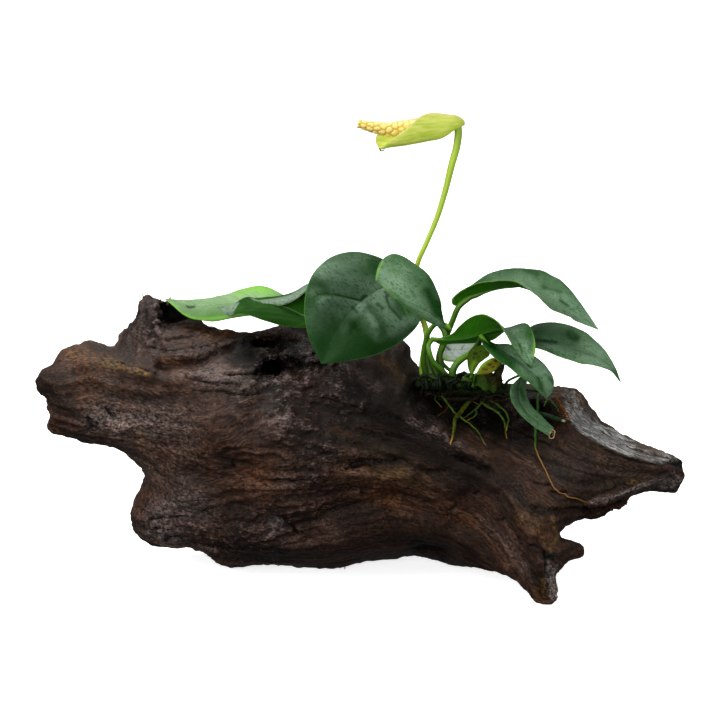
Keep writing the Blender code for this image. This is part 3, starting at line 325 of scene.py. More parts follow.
# Roots: radius, start inside the rhizome (u, v, w), then points (u, v) over the wood
ROOTS = {
    "root_left_thick": (0.42, (26.5, -9, 3), (
        (28, -11), (31, -12.5), (32, -15), (34.2, -17.6), (36.5, -20.7), (39.6, -23), (43.1, -25.7),
        (45.9, -28.4), (47.4, -31.5), (48.6, -33.3))),
    "root_yellow_green": (0.96, (47, -11, 4), (
        (45.5, -13), (42.5, -15.8), (40.5, -18.5), (38.3, -20.9), (36.5, -23.8), (36.1, -27), (36, -30),
        (35, -32.7))),
    "root_middle": (0.525, (46.5, -11, 4), (
        (46, -14), (47.1, -16.8), (50.2, -18.3), (53.7, -20.7), (55.6, -23.8), (56.4, -27.7),
        (56.8, -30.8))),
    "root_right": (0.45, (55, -11, 3), (
        (63, -11.5), (69.5, -12.5), (68.8, -15.5), (69.2, -20), (68.4, -25.5), (68.4, -31), (68.6, -35.5),
        (71.2, -41.7), (73.2, -45.6), (75.1, -49.5), (78.2, -51.8), (83.7, -53.4), (88.4, -54.9))),
    "root_left_branch": (0.45, (53, -11, 3), ((50, -14), (47, -17), (43.5, -20.5), (39, -23.5))),
    "root_bud": (0.6, (39.5, -11, 4), ((40, -13.3), (41.2, -15), (42.4, -16))),
    "root_brown": (0.245, (33.5, -9.5, 4), ((34.5, -14), (33.5, -19), (30, -22))),
}
# Thin side roots that stand for no CAD node: radius, points (u, v)
SIDE_ROOTS = (
    (0.42, ((47.5, -14.5), (51.7, -16.8), (55.6, -19.5), (57.6, -23), (57.2, -25.3), (56.6, -27.9))),
    (0.36, ((44.6, -18.9), (45.2, -21.2), (43.8, -22.6), (41.5, -23.5))),
    (0.25, ((36, -30), (34.9, -33))),
    (0.3, ((48.5, -12.5), (52, -14.5), (58, -16), (64, -18), (70, -21))),
    (0.3, ((27, -11), (33, -15.5), (40, -15), (46, -17.5))),
    (0.26, ((52, -12), (54, -15), (59, -15.5), (60, -19))),
    (0.26, ((30, -12), (29, -15.5), (31.5, -18.5))),
)
# Loose pieces on the wood: radius, points (u, v)
LOOSE = {
    "rhizome_tip": (1, ((70.5, -20.8), (75, -22.5), (80, -23.5))),
    "root_loop": (0.35, ((71.5, -18), (73, -15.5), (75.5, -17.5), (77.5, -20))),
    "root_edge": (0.35, ((76, -14), (77.5, -16.5), (79.5, -20), (82, -23.5))),
}

# Mouths of cavities in the front of the wood: outline (u, v), depth
CAVES = (
    (((-77.1, 21.9), (-77.4, 19), (-78.2, 16.3), (-77.6, 13.6), (-78, 11.2), (-74.8, 11), (-70, 12.8),
      (-66.3, 14.2), (-62.4, 14.9), (-67.8, 18.8), (-71.5, 23.2), (-73.3, 23)), 15),
    (((-42.8, 5.2), (-41.4, 7.9), (-37, 9), (-31, 9), (-24, 8.6), (-21, 7), (-28, 4), (-38, 3.2)), 3),
    (((-42.8, 5.2), (-41.4, 7.6), (-38, 8.6), (-33, 8.2), (-30.4, 6.4), (-34, 4.4), (-38, 3.4)), 9),
    (((-38.8, -4.6), (-38, -0.6), (-34.6, 1.2), (-29, 1.2), (-23.5, -0.4), (-22, -3), (-26, -5.4),
      (-31, -6.6), (-36.4, -6.9)), 3),
    (((-38.8, -4.6), (-38, -1.6), (-35.6, 0.2), (-31.6, 0.4), (-29.4, -2), (-30.4, -4.8), (-33, -6.3),
      (-36.6, -6.5)), 10),
    (((-77.6, -2.7), (-71.7, -1), (-65.9, 0.4), (-59.7, 0.9), (-53.5, 2.8), (-46.4, 5.5), (-48, 3.9),
      (-53.5, 1.2), (-58.9, -1.2), (-64, -2.7), (-70.5, -3.3), (-75.6, -3.3)), 5),
    (((20.5, -71.9), (25.2, -70), (31, -70.8), (34.3, -73), (33.7, -75), (27.1, -74.2), (21.7, -73.6)), 5),
    (((115.8, -40), (119.4, -38.9), (126.5, -38.4), (126, -43.6), (123.6, -43), (120.9, -41.9),
      (117.4, -41.1)), 9),
    (((115.8, -46.6), (123.4, -43), (126, -44), (124, -50.4), (121, -51.6), (117, -51.2)), 0.9),
    (((0.2, -4.2), (3, -2.6), (8.4, -0.2), (5.8, -2.6), (2.6, -4.6)), 3.5),
    (((-34, -61), (-32.4, -62.4), (-30.4, -63.2), (-31, -61.6)), 1.4),
)
# Cracks: points (u, v), half width, depth; they run out at both ends
CRACKS = (
    (((-53.6, -5.7), (-48, -5.6), (-41, -5.2), (-38.6, -4)), 0.5, 1.6),
    (((35.3, -36.5), (39, -38), (44, -40), (50.8, -43.4)), 0.55, 1.8),
    (((-7, -42.3), (-3, -40.9), (3, -40), (10, -39.8), (16.7, -39.4)), 0.75, 2.2),
    (((25.6, -43.4), (28, -43.6), (31, -43.3)), 0.7, 1.8),
    (((41.3, -51.4), (44, -51.9), (47.9, -51.8)), 0.45, 1.2),
    (((34, -59), (36, -57), (38.5, -55.8)), 0.45, 1.2),
    (((50.8, -62), (53.5, -62.2), (56.6, -61.6)), 0.4, 1),
    (((-29.5, -61.6), (-26, -65), (-22.5, -68.4)), 0.6, 1.8),
    (((-49.2, -39.6), (-48.8, -42)), 0.5, 1.4),
    (((-99, -19), (-96, -22), (-94, -23)), 0.5, 1.2),
    (((-106, -23), (-103.6, -25), (-101, -25.4)), 0.8, 1.2),
    (((-78.5, -70.5), (-72, -69.4), (-66, -68.6)), 0.5, 1),
    (((73, -50), (77.5, -51.5), (81, -51)), 0.55, 1.4),
    (((66, -46.5), (72, -48.2), (75, -47.6)), 0.45, 1.2),
    (((0, -50.8), (2, -53)), 0.4, 0.9),
    (((92, -33.4), (99.6, -37), (107, -40), (118, -41.2)), 0.45, 1.2),
    (((101, -32), (109, -35.4), (117, -37.6), (123, -38.6)), 0.3, 0.7),
    (((71.6, -74), (72.4, -82), (73.2, -90)), 0.5, 1.5),
    (((88, -54), (96, -50.5), (104, -47.4)), 0.4, 0.9),
    (((-20, -34), (-15, -36), (-9, -37)), 0.35, 0.8),
    (((4, -28), (14, -30), (24, -33)), 0.35, 0.8),
    (((-4, -18), (8, -22), (18, -24)), 0.35, 0.8),
    (((44, -28), (56, -33), (66, -40)), 0.35, 0.9),
    (((56, -26), (70, -31), (84, -38), (96, -42)), 0.35, 0.8),
    (((60, -34), (74, -39), (88, -44), (98, -46)), 0.35, 0.8),
    (((-100, 0), (-92, -1), (-84, -3), (-76, -6)), 0.3, 0.7),
    (((-86, 6), (-74, 4), (-62, 5), (-52, 8)), 0.35, 0.9),
    (((-84, 10), (-76, 8), (-66, 9), (-58, 11)), 0.35, 0.8),
    (((-68, -7), (-58, -8.6), (-46, -9.4)), 0.4, 1.2),
    (((-66, -11.4), (-56, -12.2), (-44, -13.4), (-38, -13)), 0.4, 1),
    (((-86, -62), (-76, -61), (-66, -60)), 0.4, 0.9),
    (((-84, -66), (-74, -65), (-64, -64.6), (-54, -66)), 0.35, 0.8),
)
# Crests with a sharp edge: points, rise, how far they run out to the left of the way and to the right
CRESTS = (
    (((78.6, -13), (79.1, -17.4), (79.8, -22.1), (85.7, -27.9), (93, -32.2), (103.5, -36.8), (113.2, -39.9),
      (120.2, -41), (123.8, -42.8)), 5, 6.5, 20),
    (((86, -56.6), (93, -55), (104.7, -51.6), (115.5, -46.5), (123.5, -42.7)), 2.6, 12, 3),
    (((24.4, -25.2), (36.8, -31.4), (46.5, -38), (56.2, -46.5), (65.9, -58.1), (72.9, -71.7), (75.4, -84)),
     1.8, 5, 9),
    (((-11.6, -58.1), (6.2, -51.6), (29.8, -57), (44.6, -62.4), (53.5, -70.2), (62.4, -79.1), (70, -90)),
     1.8, 9, 2.5),
    (((-7.4, -43), (-3, -41.7), (3, -40.9), (10, -40.7), (18, -40.4)), -1.6, 0.6, 7),
    (((71.4, -68), (72.2, -75), (72.4, -82), (73.4, -90)), 1.4, 3, 6),
    (((-84, 2.6), (-72, 0.4), (-60, 3.2), (-50, 6.4), (-44, 9)), 1.2, 6, 1.5),
    (((-52, -5.2), (-46, -5), (-40, -4.6)), 0.7, 2.5, 0.8),
    (((-66, -5.6), (-56, -7.4), (-48, -8.4), (-38, -8.6)), 0.9, 3, 1),
    (((-66, -9.8), (-56, -10.8), (-48, -11.6), (-38, -11.6)), 0.9, 3, 1),
    (((-60, -13), (-50, -14.5), (-42, -17), (-38, -22)), 0.8, 4, 1.4),
    (((-64.3, -44.9), (-58, -45.3), (-52, -45), (-44.2, -42.4)), 1, 4, 1),
    (((-77, -55.8), (-70, -54.6), (-60, -53), (-50, -50.4)), 1, 4, 1.4),
    (((-46, -74.4), (-40, -72.6), (-35, -70.4)), 0.9, 3, 1),
    (((-64, -63), (-54, -61), (-45, -55), (-38, -47)), 0.8, 4, 1.4),
    (((-56, -70.4), (-46, -65), (-38, -57)), 0.8, 4, 1.4),
    (((-104, 0), (-96, -1.4), (-88, -4.6), (-80, -8)), 1, 5, 4),
    (((22, -14), (34, -25), (46, -32), (58, -42)), 0.8, 3, 2),
    (((-79, 22), (-78.6, 18), (-79, 13.6), (-79, 11)), 1.6, 0.8, 4),
)
# Splinters that stand off the wood's rim: foot and tip (u, v, w), radius
SPIKES = (
    ((-6, -78, -20), (-5.9, -81.2, -20), 0.55), ((-74.6, 21.2, -14), (-73.4, 24.9, -14), 0.8),
    ((-84, 23, -18), (-84.4, 26, -18), 0.5), ((-82.6, 23, -18), (-82.4, 25.6, -18), 0.5),
    ((-78, 22, -17), (-77, 24.2, -17), 0.4), ((75.4, -80, 10), (78, -81.2, 10), 0.5),
    ((96, -57, -8), (98, -58.8, -8), 0.6), ((101, -55.5, -8), (103.6, -56.4, -8), 0.6),
)
# How the grain runs over the sheet, from left to right
GRAIN_LINES = (
    ((-122, -10), (-105, -7), (-88, -10), (-70, -13), (-50, -12), (-35, -8)),
    ((-118, 0), (-104, 3), (-92, 1), (-78, -3), (-60, -2), (-44, 5)),
    ((-121, -24), (-104, -26), (-92, -28), (-80, -35), (-71, -45)),
    ((-84, 22), (-80, 12), (-72, 6), (-60, 6), (-46, 6)),
    ((-60, 12), (-45, 8), (-25, 13), (-10, 16), (5, 9)),
    ((-54, -24), (-50, -17), (-42, -13), (-34, -15), (-26, -22)),
    ((-56, -30), (-48, -36), (-38, -38), (-26, -34)),
    ((-88, -60), (-74, -57), (-60, -53), (-48, -47), (-36, -42), (-24, -40)),
    ((-84, -70), (-66, -70), (-50, -70), (-38, -64), (-26, -58)),
    ((-50, -79), (-20, -78), (10, -74), (40, -77), (58, -84)),
    ((-34, -6), (-20, -6), (0, -10), (16, -18), (34, -28), (52, -44), (66, -62), (73, -84)),
    ((-30, -22), (-12, -26), (6, -32), (24, -40), (40, -50), (56, -64), (66, -82)),
    ((-24, -62), (-8, -56), (10, -52), (30, -56), (48, -66), (62, -84)),
    ((14, 4), (22, -4), (32, -14), (50, -24), (66, -28), (84, -35), (104, -42), (124, -46)),
    ((72, -10), (82, -14), (90, -23), (104, -32), (124, -39)),
    ((60, -36), (76, -46), (90, -52), (102, -54)),
    ((66, -66), (76, -72), (86, -73)),
)
# Stains, wet places, painted sheen and painted shade on the front of the wood: points (u, v), width,
# strength
PATCHES = {
    "rust": (
        (((-110, 0), (-104, -8), (-106, -13)), 6, 0.75),
        (((-98, -6), (-90, -12)), 5, 0.5),
        (((-78, -36), (-70, -30)), 9, 0.35),
        (((-45, -12), (-42, -18)), 5, 0.4),
        (((-30, -7), (-22, -6), (-14, -4)), 2.5, 0.4),
        (((-10, -26.5), (-1, -29)), 1.2, 1),
        (((6, -53), (14, -57)), 4, 0.35),
        (((34, -60), (45, -63.8), (52, -70), (59, -79)), 3.5, 0.55),
        (((74, -12), (80, -18)), 2, 0.6),
        (((34, -30), (50, -38)), 4, 0.3),
        (((24, -25), (29, -27.5), (35, -32)), 3, 0.8),
        (((-66, 12), (-60, 8)), 5, 0.4),
        (((-40, -46), (-30, -40)), 8, 0.3),
        (((-76, 0), (-64, -2)), 1.6, 0.8),
        (((91, -41), (92.6, -41.6)), 0.8, 1.4),
        (((76, -15), (80, -22)), 1.4, 1),
        (((-60, 11), (-50, 10)), 3, 0.5),
    ),
    "gold": (
        (((-97.3, -0.6), (-90, -3), (-83.3, -5)), 1.6, 1.2),
        (((-112, 2), (-104, 1), (-98, 0)), 2.4, 0.3),
        (((62, -61), (68, -64), (73, -70), (75, -73)), 2.4, 0.2),
        (((74, -62), (77, -68), (73, -74)), 0.7, 0.7),
        (((9, 0), (14, -3), (16, -8)), 1.6, 0.7),
        (((8, -43.5), (16, -44)), 2, 0.35),
        (((78, -11), (86, -15)), 3, 0.6),
        (((72, -86), (69, -94)), 2, 0.4),
        (((104, -46.5), (109, -48.5), (107, -50)), 1.2, 0.7),
        (((-86, -28), (-84, -34)), 1, 0.6),
    ),
    "moss": (
        (((-41, 9), (-38, 3)), 3.5, 0.8),
        (((-42, -6), (-36, -9), (-28, -6)), 3.5, 0.9),
        (((-46, 8), (-46, -4)), 2.5, 0.5),
        (((6, -42), (22, -46)), 6, 0.5),
        (((24, -12), (44, -17), (70, -20)), 7, 0.8),
        (((30, -34), (50, -40)), 6, 0.4),
        (((60, -56), (70, -62)), 5, 0.35),
        (((-8, -30), (14, -36)), 5, 0.5),
        (((74, -38), (90, -43), (108, -45)), 8, 0.4),
    ),
    "torn": (
        (((-78, 17), (-80, 22)), 5, 0.9),
        (((-84, 12), (-86, 6)), 4, 0.5),
        (((74, -76), (75.4, -84), (76, -91)), 2.6, 1.3),
        (((119, -47.5), (123, -46)), 4, 1),
        (((88, -58), (101, -55)), 3, 0.8),
        (((80, -12), (86, -15)), 5, 0.7),
        (((-122, -12), (-121, -20)), 4, 0.4),
    ),
    "calm": (
        (((-44, -76), (0, -76), (30, -78)), 5, 0.8),
        (((0, -64), (24, -66), (44, -74)), 8, 1),
        (((76, -36), (96, -43), (112, -45)), 8, 0.5),
        (((84, -24), (98, -32), (112, -37)), 3, 0.3),
        (((8, -28), (30, -36)), 8, 0.5),
    ),
    "wet": (
        (((-30, -14), (-20, -34), (-24, -56), (-36, -66)), 16, 1),
        (((-36, 6), (-22, 10), (-8, 4)), 9, 0.6),
        (((21, -24), (28, -28), (36, -33)), 4, 1),
        (((-12, -8), (-2, -20)), 8, 1),
        (((60, -48), (70, -58)), 6, 0.7),
        (((-60, 4), (-78, 2)), 8, 0.6),
        (((-60, -64), (-44, -74)), 9, 0.8),
        (((-80, -64), (-66, -66)), 9, 0.7),
        (((80, -14), (88, -20)), 4, 0.6),
        (((-86, 10), (-74, 18)), 6, 0.7),
        (((28, -10), (70, -18)), 8, 0.25),
        (((-60, -8), (-44, -12)), 7, 0.5),
    ),
    # Pale is worn grey wood, and on some wet crests a painted sheen
    "pale": (
        (((-34.5, -61.5), (-32, -63)), 2, 0.9),
        (((-100, -22), (-85, -24), (-70, -26)), 8, 0.6),
        (((-79, 16), (-80, 20)), 2, 0.8),
        (((21, -24), (30, -28), (36, -33)), 2, 0.3),
        (((-11, -10), (-4, -18)), 4, 0.3),
        (((74, -77), (75, -84), (75.6, -91)), 2, 2.2),
        (((-76, -58), (-62, -57)), 5, 0.7),
        (((-80, -66), (-70, -69)), 5, 0.6),
        (((48, -64), (56, -70), (63, -80)), 3, 0.3),
        (((90, -55.4), (101, -52.4), (112, -47.8), (121, -43.8)), 0.9, 1.3),
        (((118, -48.4), (122.4, -46.6)), 1.7, 2.4),
        (((-60, -4), (-48, -10)), 6, 0.45),
        (((76, -42), (92, -43), (110, -44)), 7, 0.16),
        (((-84, -40), (-70, -46)), 8, 0.3),
    ),
    # Painted sheen on the top face of the right arm, where light from above would shine off it
    "silver": (
        (((80.5, -16), (84, -21.5), (88, -26), (95, -29.8), (103, -33.4)), 3, 2.1),
        (((99, -33), (107, -36), (115, -38.2), (123.5, -39.4)), 2, 0.5),
    ),
    # Painted shade under the plant, round the cavities, under the right arm and along the bottom edge
    "soot": (
        (((26, -12), (42, -16.5), (58, -19), (72, -23)), 6.5, 1.7),
        (((-77, 17), (-66, 14)), 4, 1),
        (((-42, 7), (-34, 6), (-24, 8)), 3.4, 1.6),
        (((-32, 4), (-22, 2)), 6, 1.3),
        (((52, -24), (60, -27), (67, -29)), 5, 1.2),
        (((-37, -3.5), (-31, -4.5), (-25, -5)), 3.2, 1.4),
        (((22, -71.5), (32, -74)), 3, 1),
        (((118, -42), (125, -42), (126, -49)), 2, 1.6),
        (((76, -58), (70, -62)), 3, 0.5),
        (((-40, -76), (10, -74), (40, -76)), 5, 0.4),
        (((88, -60), (94, -59.5), (102, -56.8)), 2.2, 1.8),
        (((73, -76), (79, -80)), 2.6, 0.9),
    ),
}

# How much lighter or darker than the rest the soaked wood is painted, partly its own tone and partly
# painted light and shade: points (u, v), width, share
TONE_LIGHT_AND_SHADE = (
    (((-98, -23), (-84, -27)), 7, 0.95),
    (((-84, 18), (-80, 14)), 5, -0.45),
    (((-84, -60), (-76, -68), (-66, -66)), 9, 0.85),
    (((-12, -6), (-2, -20)), 9, -0.4),
    (((4, -10), (14, -26), (30, -34), (46, -44)), 8, -0.85),
    (((34, -18), (52, -23), (70, -28)), 6, -0.5),
    (((22, -14), (40, -19), (62, -21)), 8, -1),
    (((4, -46), (16, -48)), 5, 0.2),
    (((0, -60), (18, -61), (34, -66), (46, -76)), 7, -0.45),
    (((-34, -14), (-14, -34)), 12, -0.3),
    (((72, -38), (88, -41)), 6, -0.45),
    (((80, -47), (94, -50)), 4, -0.4),
    (((89, -55.4), (100, -52.8), (112, -48.8)), 1.6, 1.3),
    (((74.5, -78), (75.5, -92)), 2.6, 1.3),
    (((66, -76), (70, -90)), 3, -0.25),
    (((-118, -10), (-100, -8), (-88, -12)), 9, -0.5),
    (((-44, 4), (-36, -2), (-26, 2), (-14, 4)), 6, -1.1),
    (((-32, 5), (-24, 2)), 4, -0.8),
    (((66, -54), (71, -66)), 5, 0.7),
    (((-10, -47), (10, -52), (20, -54)), 6, 1),
    (((96, -40), (112, -43)), 5, 0.15),
    (((-6, 0), (6, -2), (14, -4)), 6, -0.35),
    (((-40, -44), (-24, -58)), 9, 0.75),
)

# Which face of each blade is its upper one: 1 where it is on the side that the rails' order faces
UPPER_SIDES = {
    "leaf_far_left": -1, "leaf_left_twisted": 1, "leaf_big_round": -1, "leaf_over_big": -1,
    "leaf_tall_arching": 1, "leaf_twisted_middle": -1, "leaf_right_long": 1, "leaf_low_right": 1,
    "leaf_cut_hanging": 1, "leaf_pale_back": 1, "leaf_small_olive": 1, "leaf_yellow_spotted": 1,
    "leaf_crumpled_dark": 1,
}
# What marks each blade: points (u, v), width, strength. The painted sheen stands for light shining off the
# blade; dark is the soaked green, and along some creases painted shade
LEAF_MARKS = {
    "leaf_big_round": {
        "film": (
            (((-14.7, 33.5), (-8.5, 36.5), (-1.6, 38.5)), 4, 0.6),
            (((-13.6, 34.5), (-6, 32), (1, 29.6), (8, 27.4)), 3.6, 0.9),
            (((-18.4, 26.4), (-10, 27.2), (-4.6, 26)), 2, 0.5),
            (((-14.7, 22.4), (-10.4, 23.8), (-4.6, 22.8), (-0.8, 21.4), (1.2, 20.2)), 1.6, 1.1),
            (((-13.6, 20.5), (-6, 19), (0, 18)), 4, 0.5),
            (((0.4, 23.5), (6, 23), (9.5, 25.6)), 3, 0.6),
            (((9.3, 22.5), (11.6, 16.7), (16.3, 13.6), (20.9, 15.5)), 3.2, 1.1),
            (((1.9, 19.4), (4.3, 16), (5.8, 13.6)), 1.4, 0.9),
            (((-4.3, 12.4), (0, 11), (4, 9)), 4, 0.45),
            (((11.6, 10.5), (15.5, 9), (18, 11)), 2, 0.6),
            (((-19, 16), (-14, 13)), 3, 0.3),
            (((10.6, 27), (12.4, 24.8)), 1.1, 1.3),
        ),
        # Dark: soaked green, and along the pressed-down creases painted shade
        "dark": (
            (((-7, 0.8), (-3, 4.5), (2.3, 7.5)), 3.2, 1.1),
            (((-13.4, 2), (-11.6, 12)), 4, 0.4),
            (((-16.5, 25.2), (-10.2, 25.3), (-4.6, 24.1), (0.2, 23), (1.4, 24.3), (2.4, 24.8)), 0.55, 1.1),
            (((10.1, 24.4), (11.4, 20.4), (14.3, 17.4), (15.9, 15.5)), 0.45, 1),
            (((9.6, 26.4), (11.2, 24.8)), 0.5, 1),
            (((3.9, 3.9), (9.7, 5.8), (14.7, 8.5), (20, 12)), 2, 0.7),
            (((6.6, 21.7), (8.9, 19.8)), 0.6, 0.9),
            (((-3.1, 20.6), (-1.2, 18.4)), 0.6, 0.9),
            (((-3.6, 14.4), (-0.6, 12.2)), 3, 0.9),
            (((-6, 9), (0, 4), (7, 3)), 4, 0.5),
            (((-17.1, 30.2), (-13.6, 27.5)), 2, 0.7),
            (((12, 35), (6, 38)), 3, 0.4),
        ),
        "lime": (
            (((16.6, 21.4), (17.8, 18.6), (19.4, 16.3), (22.1, 15.9)), 0.35, 0.5),
        ),
    },
    "leaf_over_big": {
        "film": (
            (((10.1, 35.7), (14.7, 34.9), (20.2, 30.2)), 6, 0.45),
            (((9.3, 32.6), (15.5, 27.9), (23.3, 20.9), (30.2, 14.7)), 3, 0.8),
            (((15.5, 36.8), (23.3, 29.8), (27.9, 23.3)), 2.4, 0.3),
            (((11.6, 29.5), (19.4, 24)), 2.4, 0.6),
        ),
        "dark": (
            (((26, 26.7), (28.3, 21.7), (29.8, 17.8)), 2, 1),
            (((21.3, 32.2), (23.6, 29.8)), 1.6, 0.5),
            (((19.8, 26.7), (21.3, 24.4)), 0.8, 0.5),
            (((30, 22), (33, 14)), 1.2, 0.9),
        ),
        "lime": (
            (((6.3, 30.8), (7.3, 34.9), (8.8, 38)), 0.3, 0.9),
            (((7.3, 29.4), (9.3, 28.3), (14, 24)), 0.3, 0.6),
        ),
    },
    "leaf_tall_arching": {
        "film": (
            (((54.3, 31.8), (65.9, 30.2), (74.4, 24.8), (82.2, 17.4)), 4, 0.7),
            (((77.5, 20.9), (85.3, 16.3), (90.7, 13.2)), 6, 1),
            (((62, 27.1), (71.7, 21.7), (81.4, 16.3)), 3, 0.9),
            (((89.1, 14.7), (91.5, 12.8)), 3, 1),
        ),
        "dark": (
            (((65.1, 34.9), (68.2, 33.3)), 2, 0.8),
            (((54.3, 34.1), (58.9, 34.9)), 3, 0.5),
            (((70.5, 28.3), (77.5, 26.4)), 1, 0.6),
            (((77.5, 22.9), (80.6, 20.9)), 0.6, 0.8),
        ),
    },
    "leaf_twisted_middle": {
        "film": (
            (((56.2, 14.7), (61.2, 16.3)), 4, 0.7),
            (((54.3, 12.4), (59.7, 10.9), (64.3, 3.9)), 4, 0.9),
            (((65.1, 0), (66.3, -2.3)), 3, 0.5),
            (((57.4, 13.2), (59.7, 13.2)), 1.2, 1),
        ),
        "dark": (
            (((65.9, 9.7), (66.7, 3.9)), 1.5, 0.5),
            (((61.6, 5.8), (62.8, 3.1)), 0.5, 0.8),
        ),
        "lime": (
            (((67.1, 13.6), (68.2, 7.8), (67.4, 1.6)), 0.8, 0.8),
        ),
    },
    "leaf_right_long": {
        "film": (
            (((71.7, 6.2), (81.4, 3.1), (91.1, 0.8)), 5, 0.9),
            (((77.5, 9.3), (87.2, 5.8), (94.6, -0.8)), 4, 0.6),
            (((91.5, 0.8), (95.3, -1.6)), 3, 1),
        ),
        "dark": (
            (((69.8, 10.1), (76, 10.1), (82.2, 7.8)), 4, 0.6),
            (((81.4, 10.1), (83.7, 8.5)), 1.5, 0.9),
            (((68.2, 7.4), (76, 6.6)), 0.7, 0.8),
            (((72.9, 3.5), (74.4, 2.7)), 0.8, 0.7),
        ),
    },
    "leaf_low_right": {
        "film": (
            (((54.3, 3.9), (59.7, 2.3), (65.1, -0.8)), 2, 1),
            (((69.8, -2.3), (72.9, -7), (74.4, -11.6)), 5, 0.8),
            (((62, -0.8), (67.8, -4.7)), 4, 0.5),
        ),
        "dark": (
            (((48.1, 7), (52.7, 3.1), (58.1, -1.6)), 3, 1),
            (((65.1, -1.9), (65.9, -2.7)), 0.8, 1),
            (((69, -7), (70.2, -11.6)), 0.7, 0.8),
            (((73.3, -7), (74.8, -9.3)), 0.7, 0.8),
        ),
    },
    "leaf_cut_hanging": {
        "film": (
            (((61.2, -7.8), (60.1, -15.5), (65.9, -21.3), (72.9, -27.1)), 4, 0.6),
        ),
        "dark": (
            (((62, -11.2), (63.6, -15.5)), 0.8, 0.6),
        ),
    },
    "leaf_pale_back": {
        "film": (
            (((32.9, 3.1), (39.5, 3.9), (47.3, 4.3)), 6, 1.2),
            (((34.1, 5), (42.6, 5.4)), 2, 1),
        ),
        "dark": (
            (((33.7, 4.7), (34.5, 3.9)), 0.6, 1),
        ),
        "lime": (
            (((31, 1.2), (34.1, -0.4)), 1, 0.9),
        ),
    },
    "leaf_small_olive": {
        "dark": (
            (((44.4, 2.7), (45, 2.4)), 0.45, 1.2),
            (((44.2, 0.9), (44.5, 0.6)), 0.4, 1.2),
            (((46.6, 3.4), (47, 3.3)), 0.3, 1.1),
            (((45.6, 1.3), (45.9, 1)), 0.25, 1),
        ),
        "lime": (
            (((43.2, -5.5), (43.6, -2.5), (44.6, -1)), 0.9, 0.8),
        ),
    },
    "leaf_yellow_spotted": {
        "dark": (
            (((47.4, -3.2), (47.9, -3.4)), 0.5, 1.3),
            (((49.6, -1.6), (50.6, -1.9)), 0.55, 1.4),
            (((52.3, -0.3), (52.9, -0.5)), 0.5, 1.3),
            (((49, -3.8), (49.3, -3.9)), 0.4, 1.2),
            (((51.4, -3), (51.8, -2.8)), 0.4, 1.2),
        ),
        "lime": (
            (((44.2, -5.4), (47.3, -1.6), (50.8, 1.2)), 1.1, 1),
        ),
    },
    "leaf_far_left": {
        "film": (
            (((-71.7, 22.1), (-62, 21.7), (-48.4, 24), (-40.7, 24.8)), 4, 0.9),
            (((-46.5, 25.2), (-38, 26.7), (-31, 24.8)), 3, 0.7),
        ),
        "dark": (
            (((-67.1, 20.5), (-65.9, 20.2), (-64.3, 20.5)), 0.45, 1),
            (((-70, 19), (-62, 17.4), (-50, 18)), 2.2, 0.32),
            (((-66, 20.6), (-56, 21), (-48, 21)), 2.4, 0.12),
        ),
        "lime": (
            (((-47.3, 27.9), (-41.9, 28.7), (-35.7, 27.5)), 3, 0.9),
            (((-73.3, 22.1), (-69, 17.8), (-63.2, 15.5), (-50.4, 16.7)), 0.5, 0.6),
        ),
    },
    "leaf_left_twisted": {
        "film": (
            (((-39, 23), (-33, 22.5), (-26, 24.5), (-20, 29)), 3, 1),
            (((-48, 20.5), (-55, 20)), 2.5, 1),
        ),
        "dark": (
            (((-32.6, 20.9), (-27.1, 18.6), (-21.7, 16.3)), 0.7, 0.7),
        ),
    },
    "leaf_crumpled_dark": {
        "dark": (
            (((50.4, -3.9), (54.3, -7.8)), 4, 0.8),
        ),
    },
}
# Wrinkles pressed up (above 0) and down in a blade: points (u, v), width, height
LEAF_FOLDS = {
    "leaf_big_round": (
        (((-16.5, 25.2), (-10.2, 25.3), (-4.6, 24.1), (0.2, 23), (2.4, 24.8)), 0.8, -0.5),
        (((-14.7, 22.4), (-10.4, 23.8), (-4.6, 22.8), (1.2, 20.2)), 1.5, 0.7),
        (((1.6, 20.5), (4.3, 15.5), (7, 10)), 1.5, 0.9),
        (((1.6, 20.2), (-2.3, 15.5), (-5, 11.2)), 1.6, 0.6),
        (((10.6, 26.6), (11.6, 25)), 1.4, 0.9),
        (((10.1, 24.4), (12, 20.2), (15.9, 15.5)), 0.5, -0.45),
        (((-12, 38), (-2, 33), (8, 27)), 2.2, 0.5),
        (((-2, 12), (2, 8), (6, 6)), 4, -0.7),
    ),
    "leaf_over_big": (
        (((8, 33), (18, 26), (30, 16)), 1.6, 0.5),
        (((14, 37), (24, 29), (31, 20)), 1.6, -0.4),
    ),
    "leaf_tall_arching": (
        (((62, 27.5), (72, 21.7), (81.4, 16.3)), 1.3, 0.8),
        (((65, 30), (74, 24.8), (83, 18.6)), 1.3, -0.7),
        (((54, 31), (62, 31), (70, 29)), 1.6, 0.4),
    ),
    "leaf_right_long": (
        (((70, 8), (80, 6.5), (92, 2)), 1.2, -0.4),
        (((68, 11), (80, 10), (90, 5)), 1.6, 0.4),
    ),
    "leaf_low_right": (
        (((54, 3), (60, 1), (66, -2)), 1.2, 0.6),
        (((64.5, -1.5), (66.5, -3.5)), 1, -0.9),
    ),
    "leaf_pale_back": ((((33, 3), (40, 4.5), (47, 4)), 1, 0.5),),
    "leaf_crumpled_dark": (
        (((43.5, -6.8), (48, -6.6), (53, -4)), 0.6, 1.3),
        (((45, -8), (49, -8.4), (54, -5)), 0.6, -1.3),
        (((46, -9.4), (50, -9.6), (54.4, -7.4)), 0.6, 1.2),
        (((49, -6), (50.6, -8), (50.8, -12)), 0.6, -1.2),
        (((51.6, -6), (52.6, -9), (53, -12)), 0.5, 1),
    ),
    "leaf_left_twisted": (
        (((-22, 17), (-32, 18.5), (-44, 19)), 0.6, 0.3),
        (((-20, 14.5), (-30, 16), (-42, 17.5)), 0.6, 0.3),
    ),
}
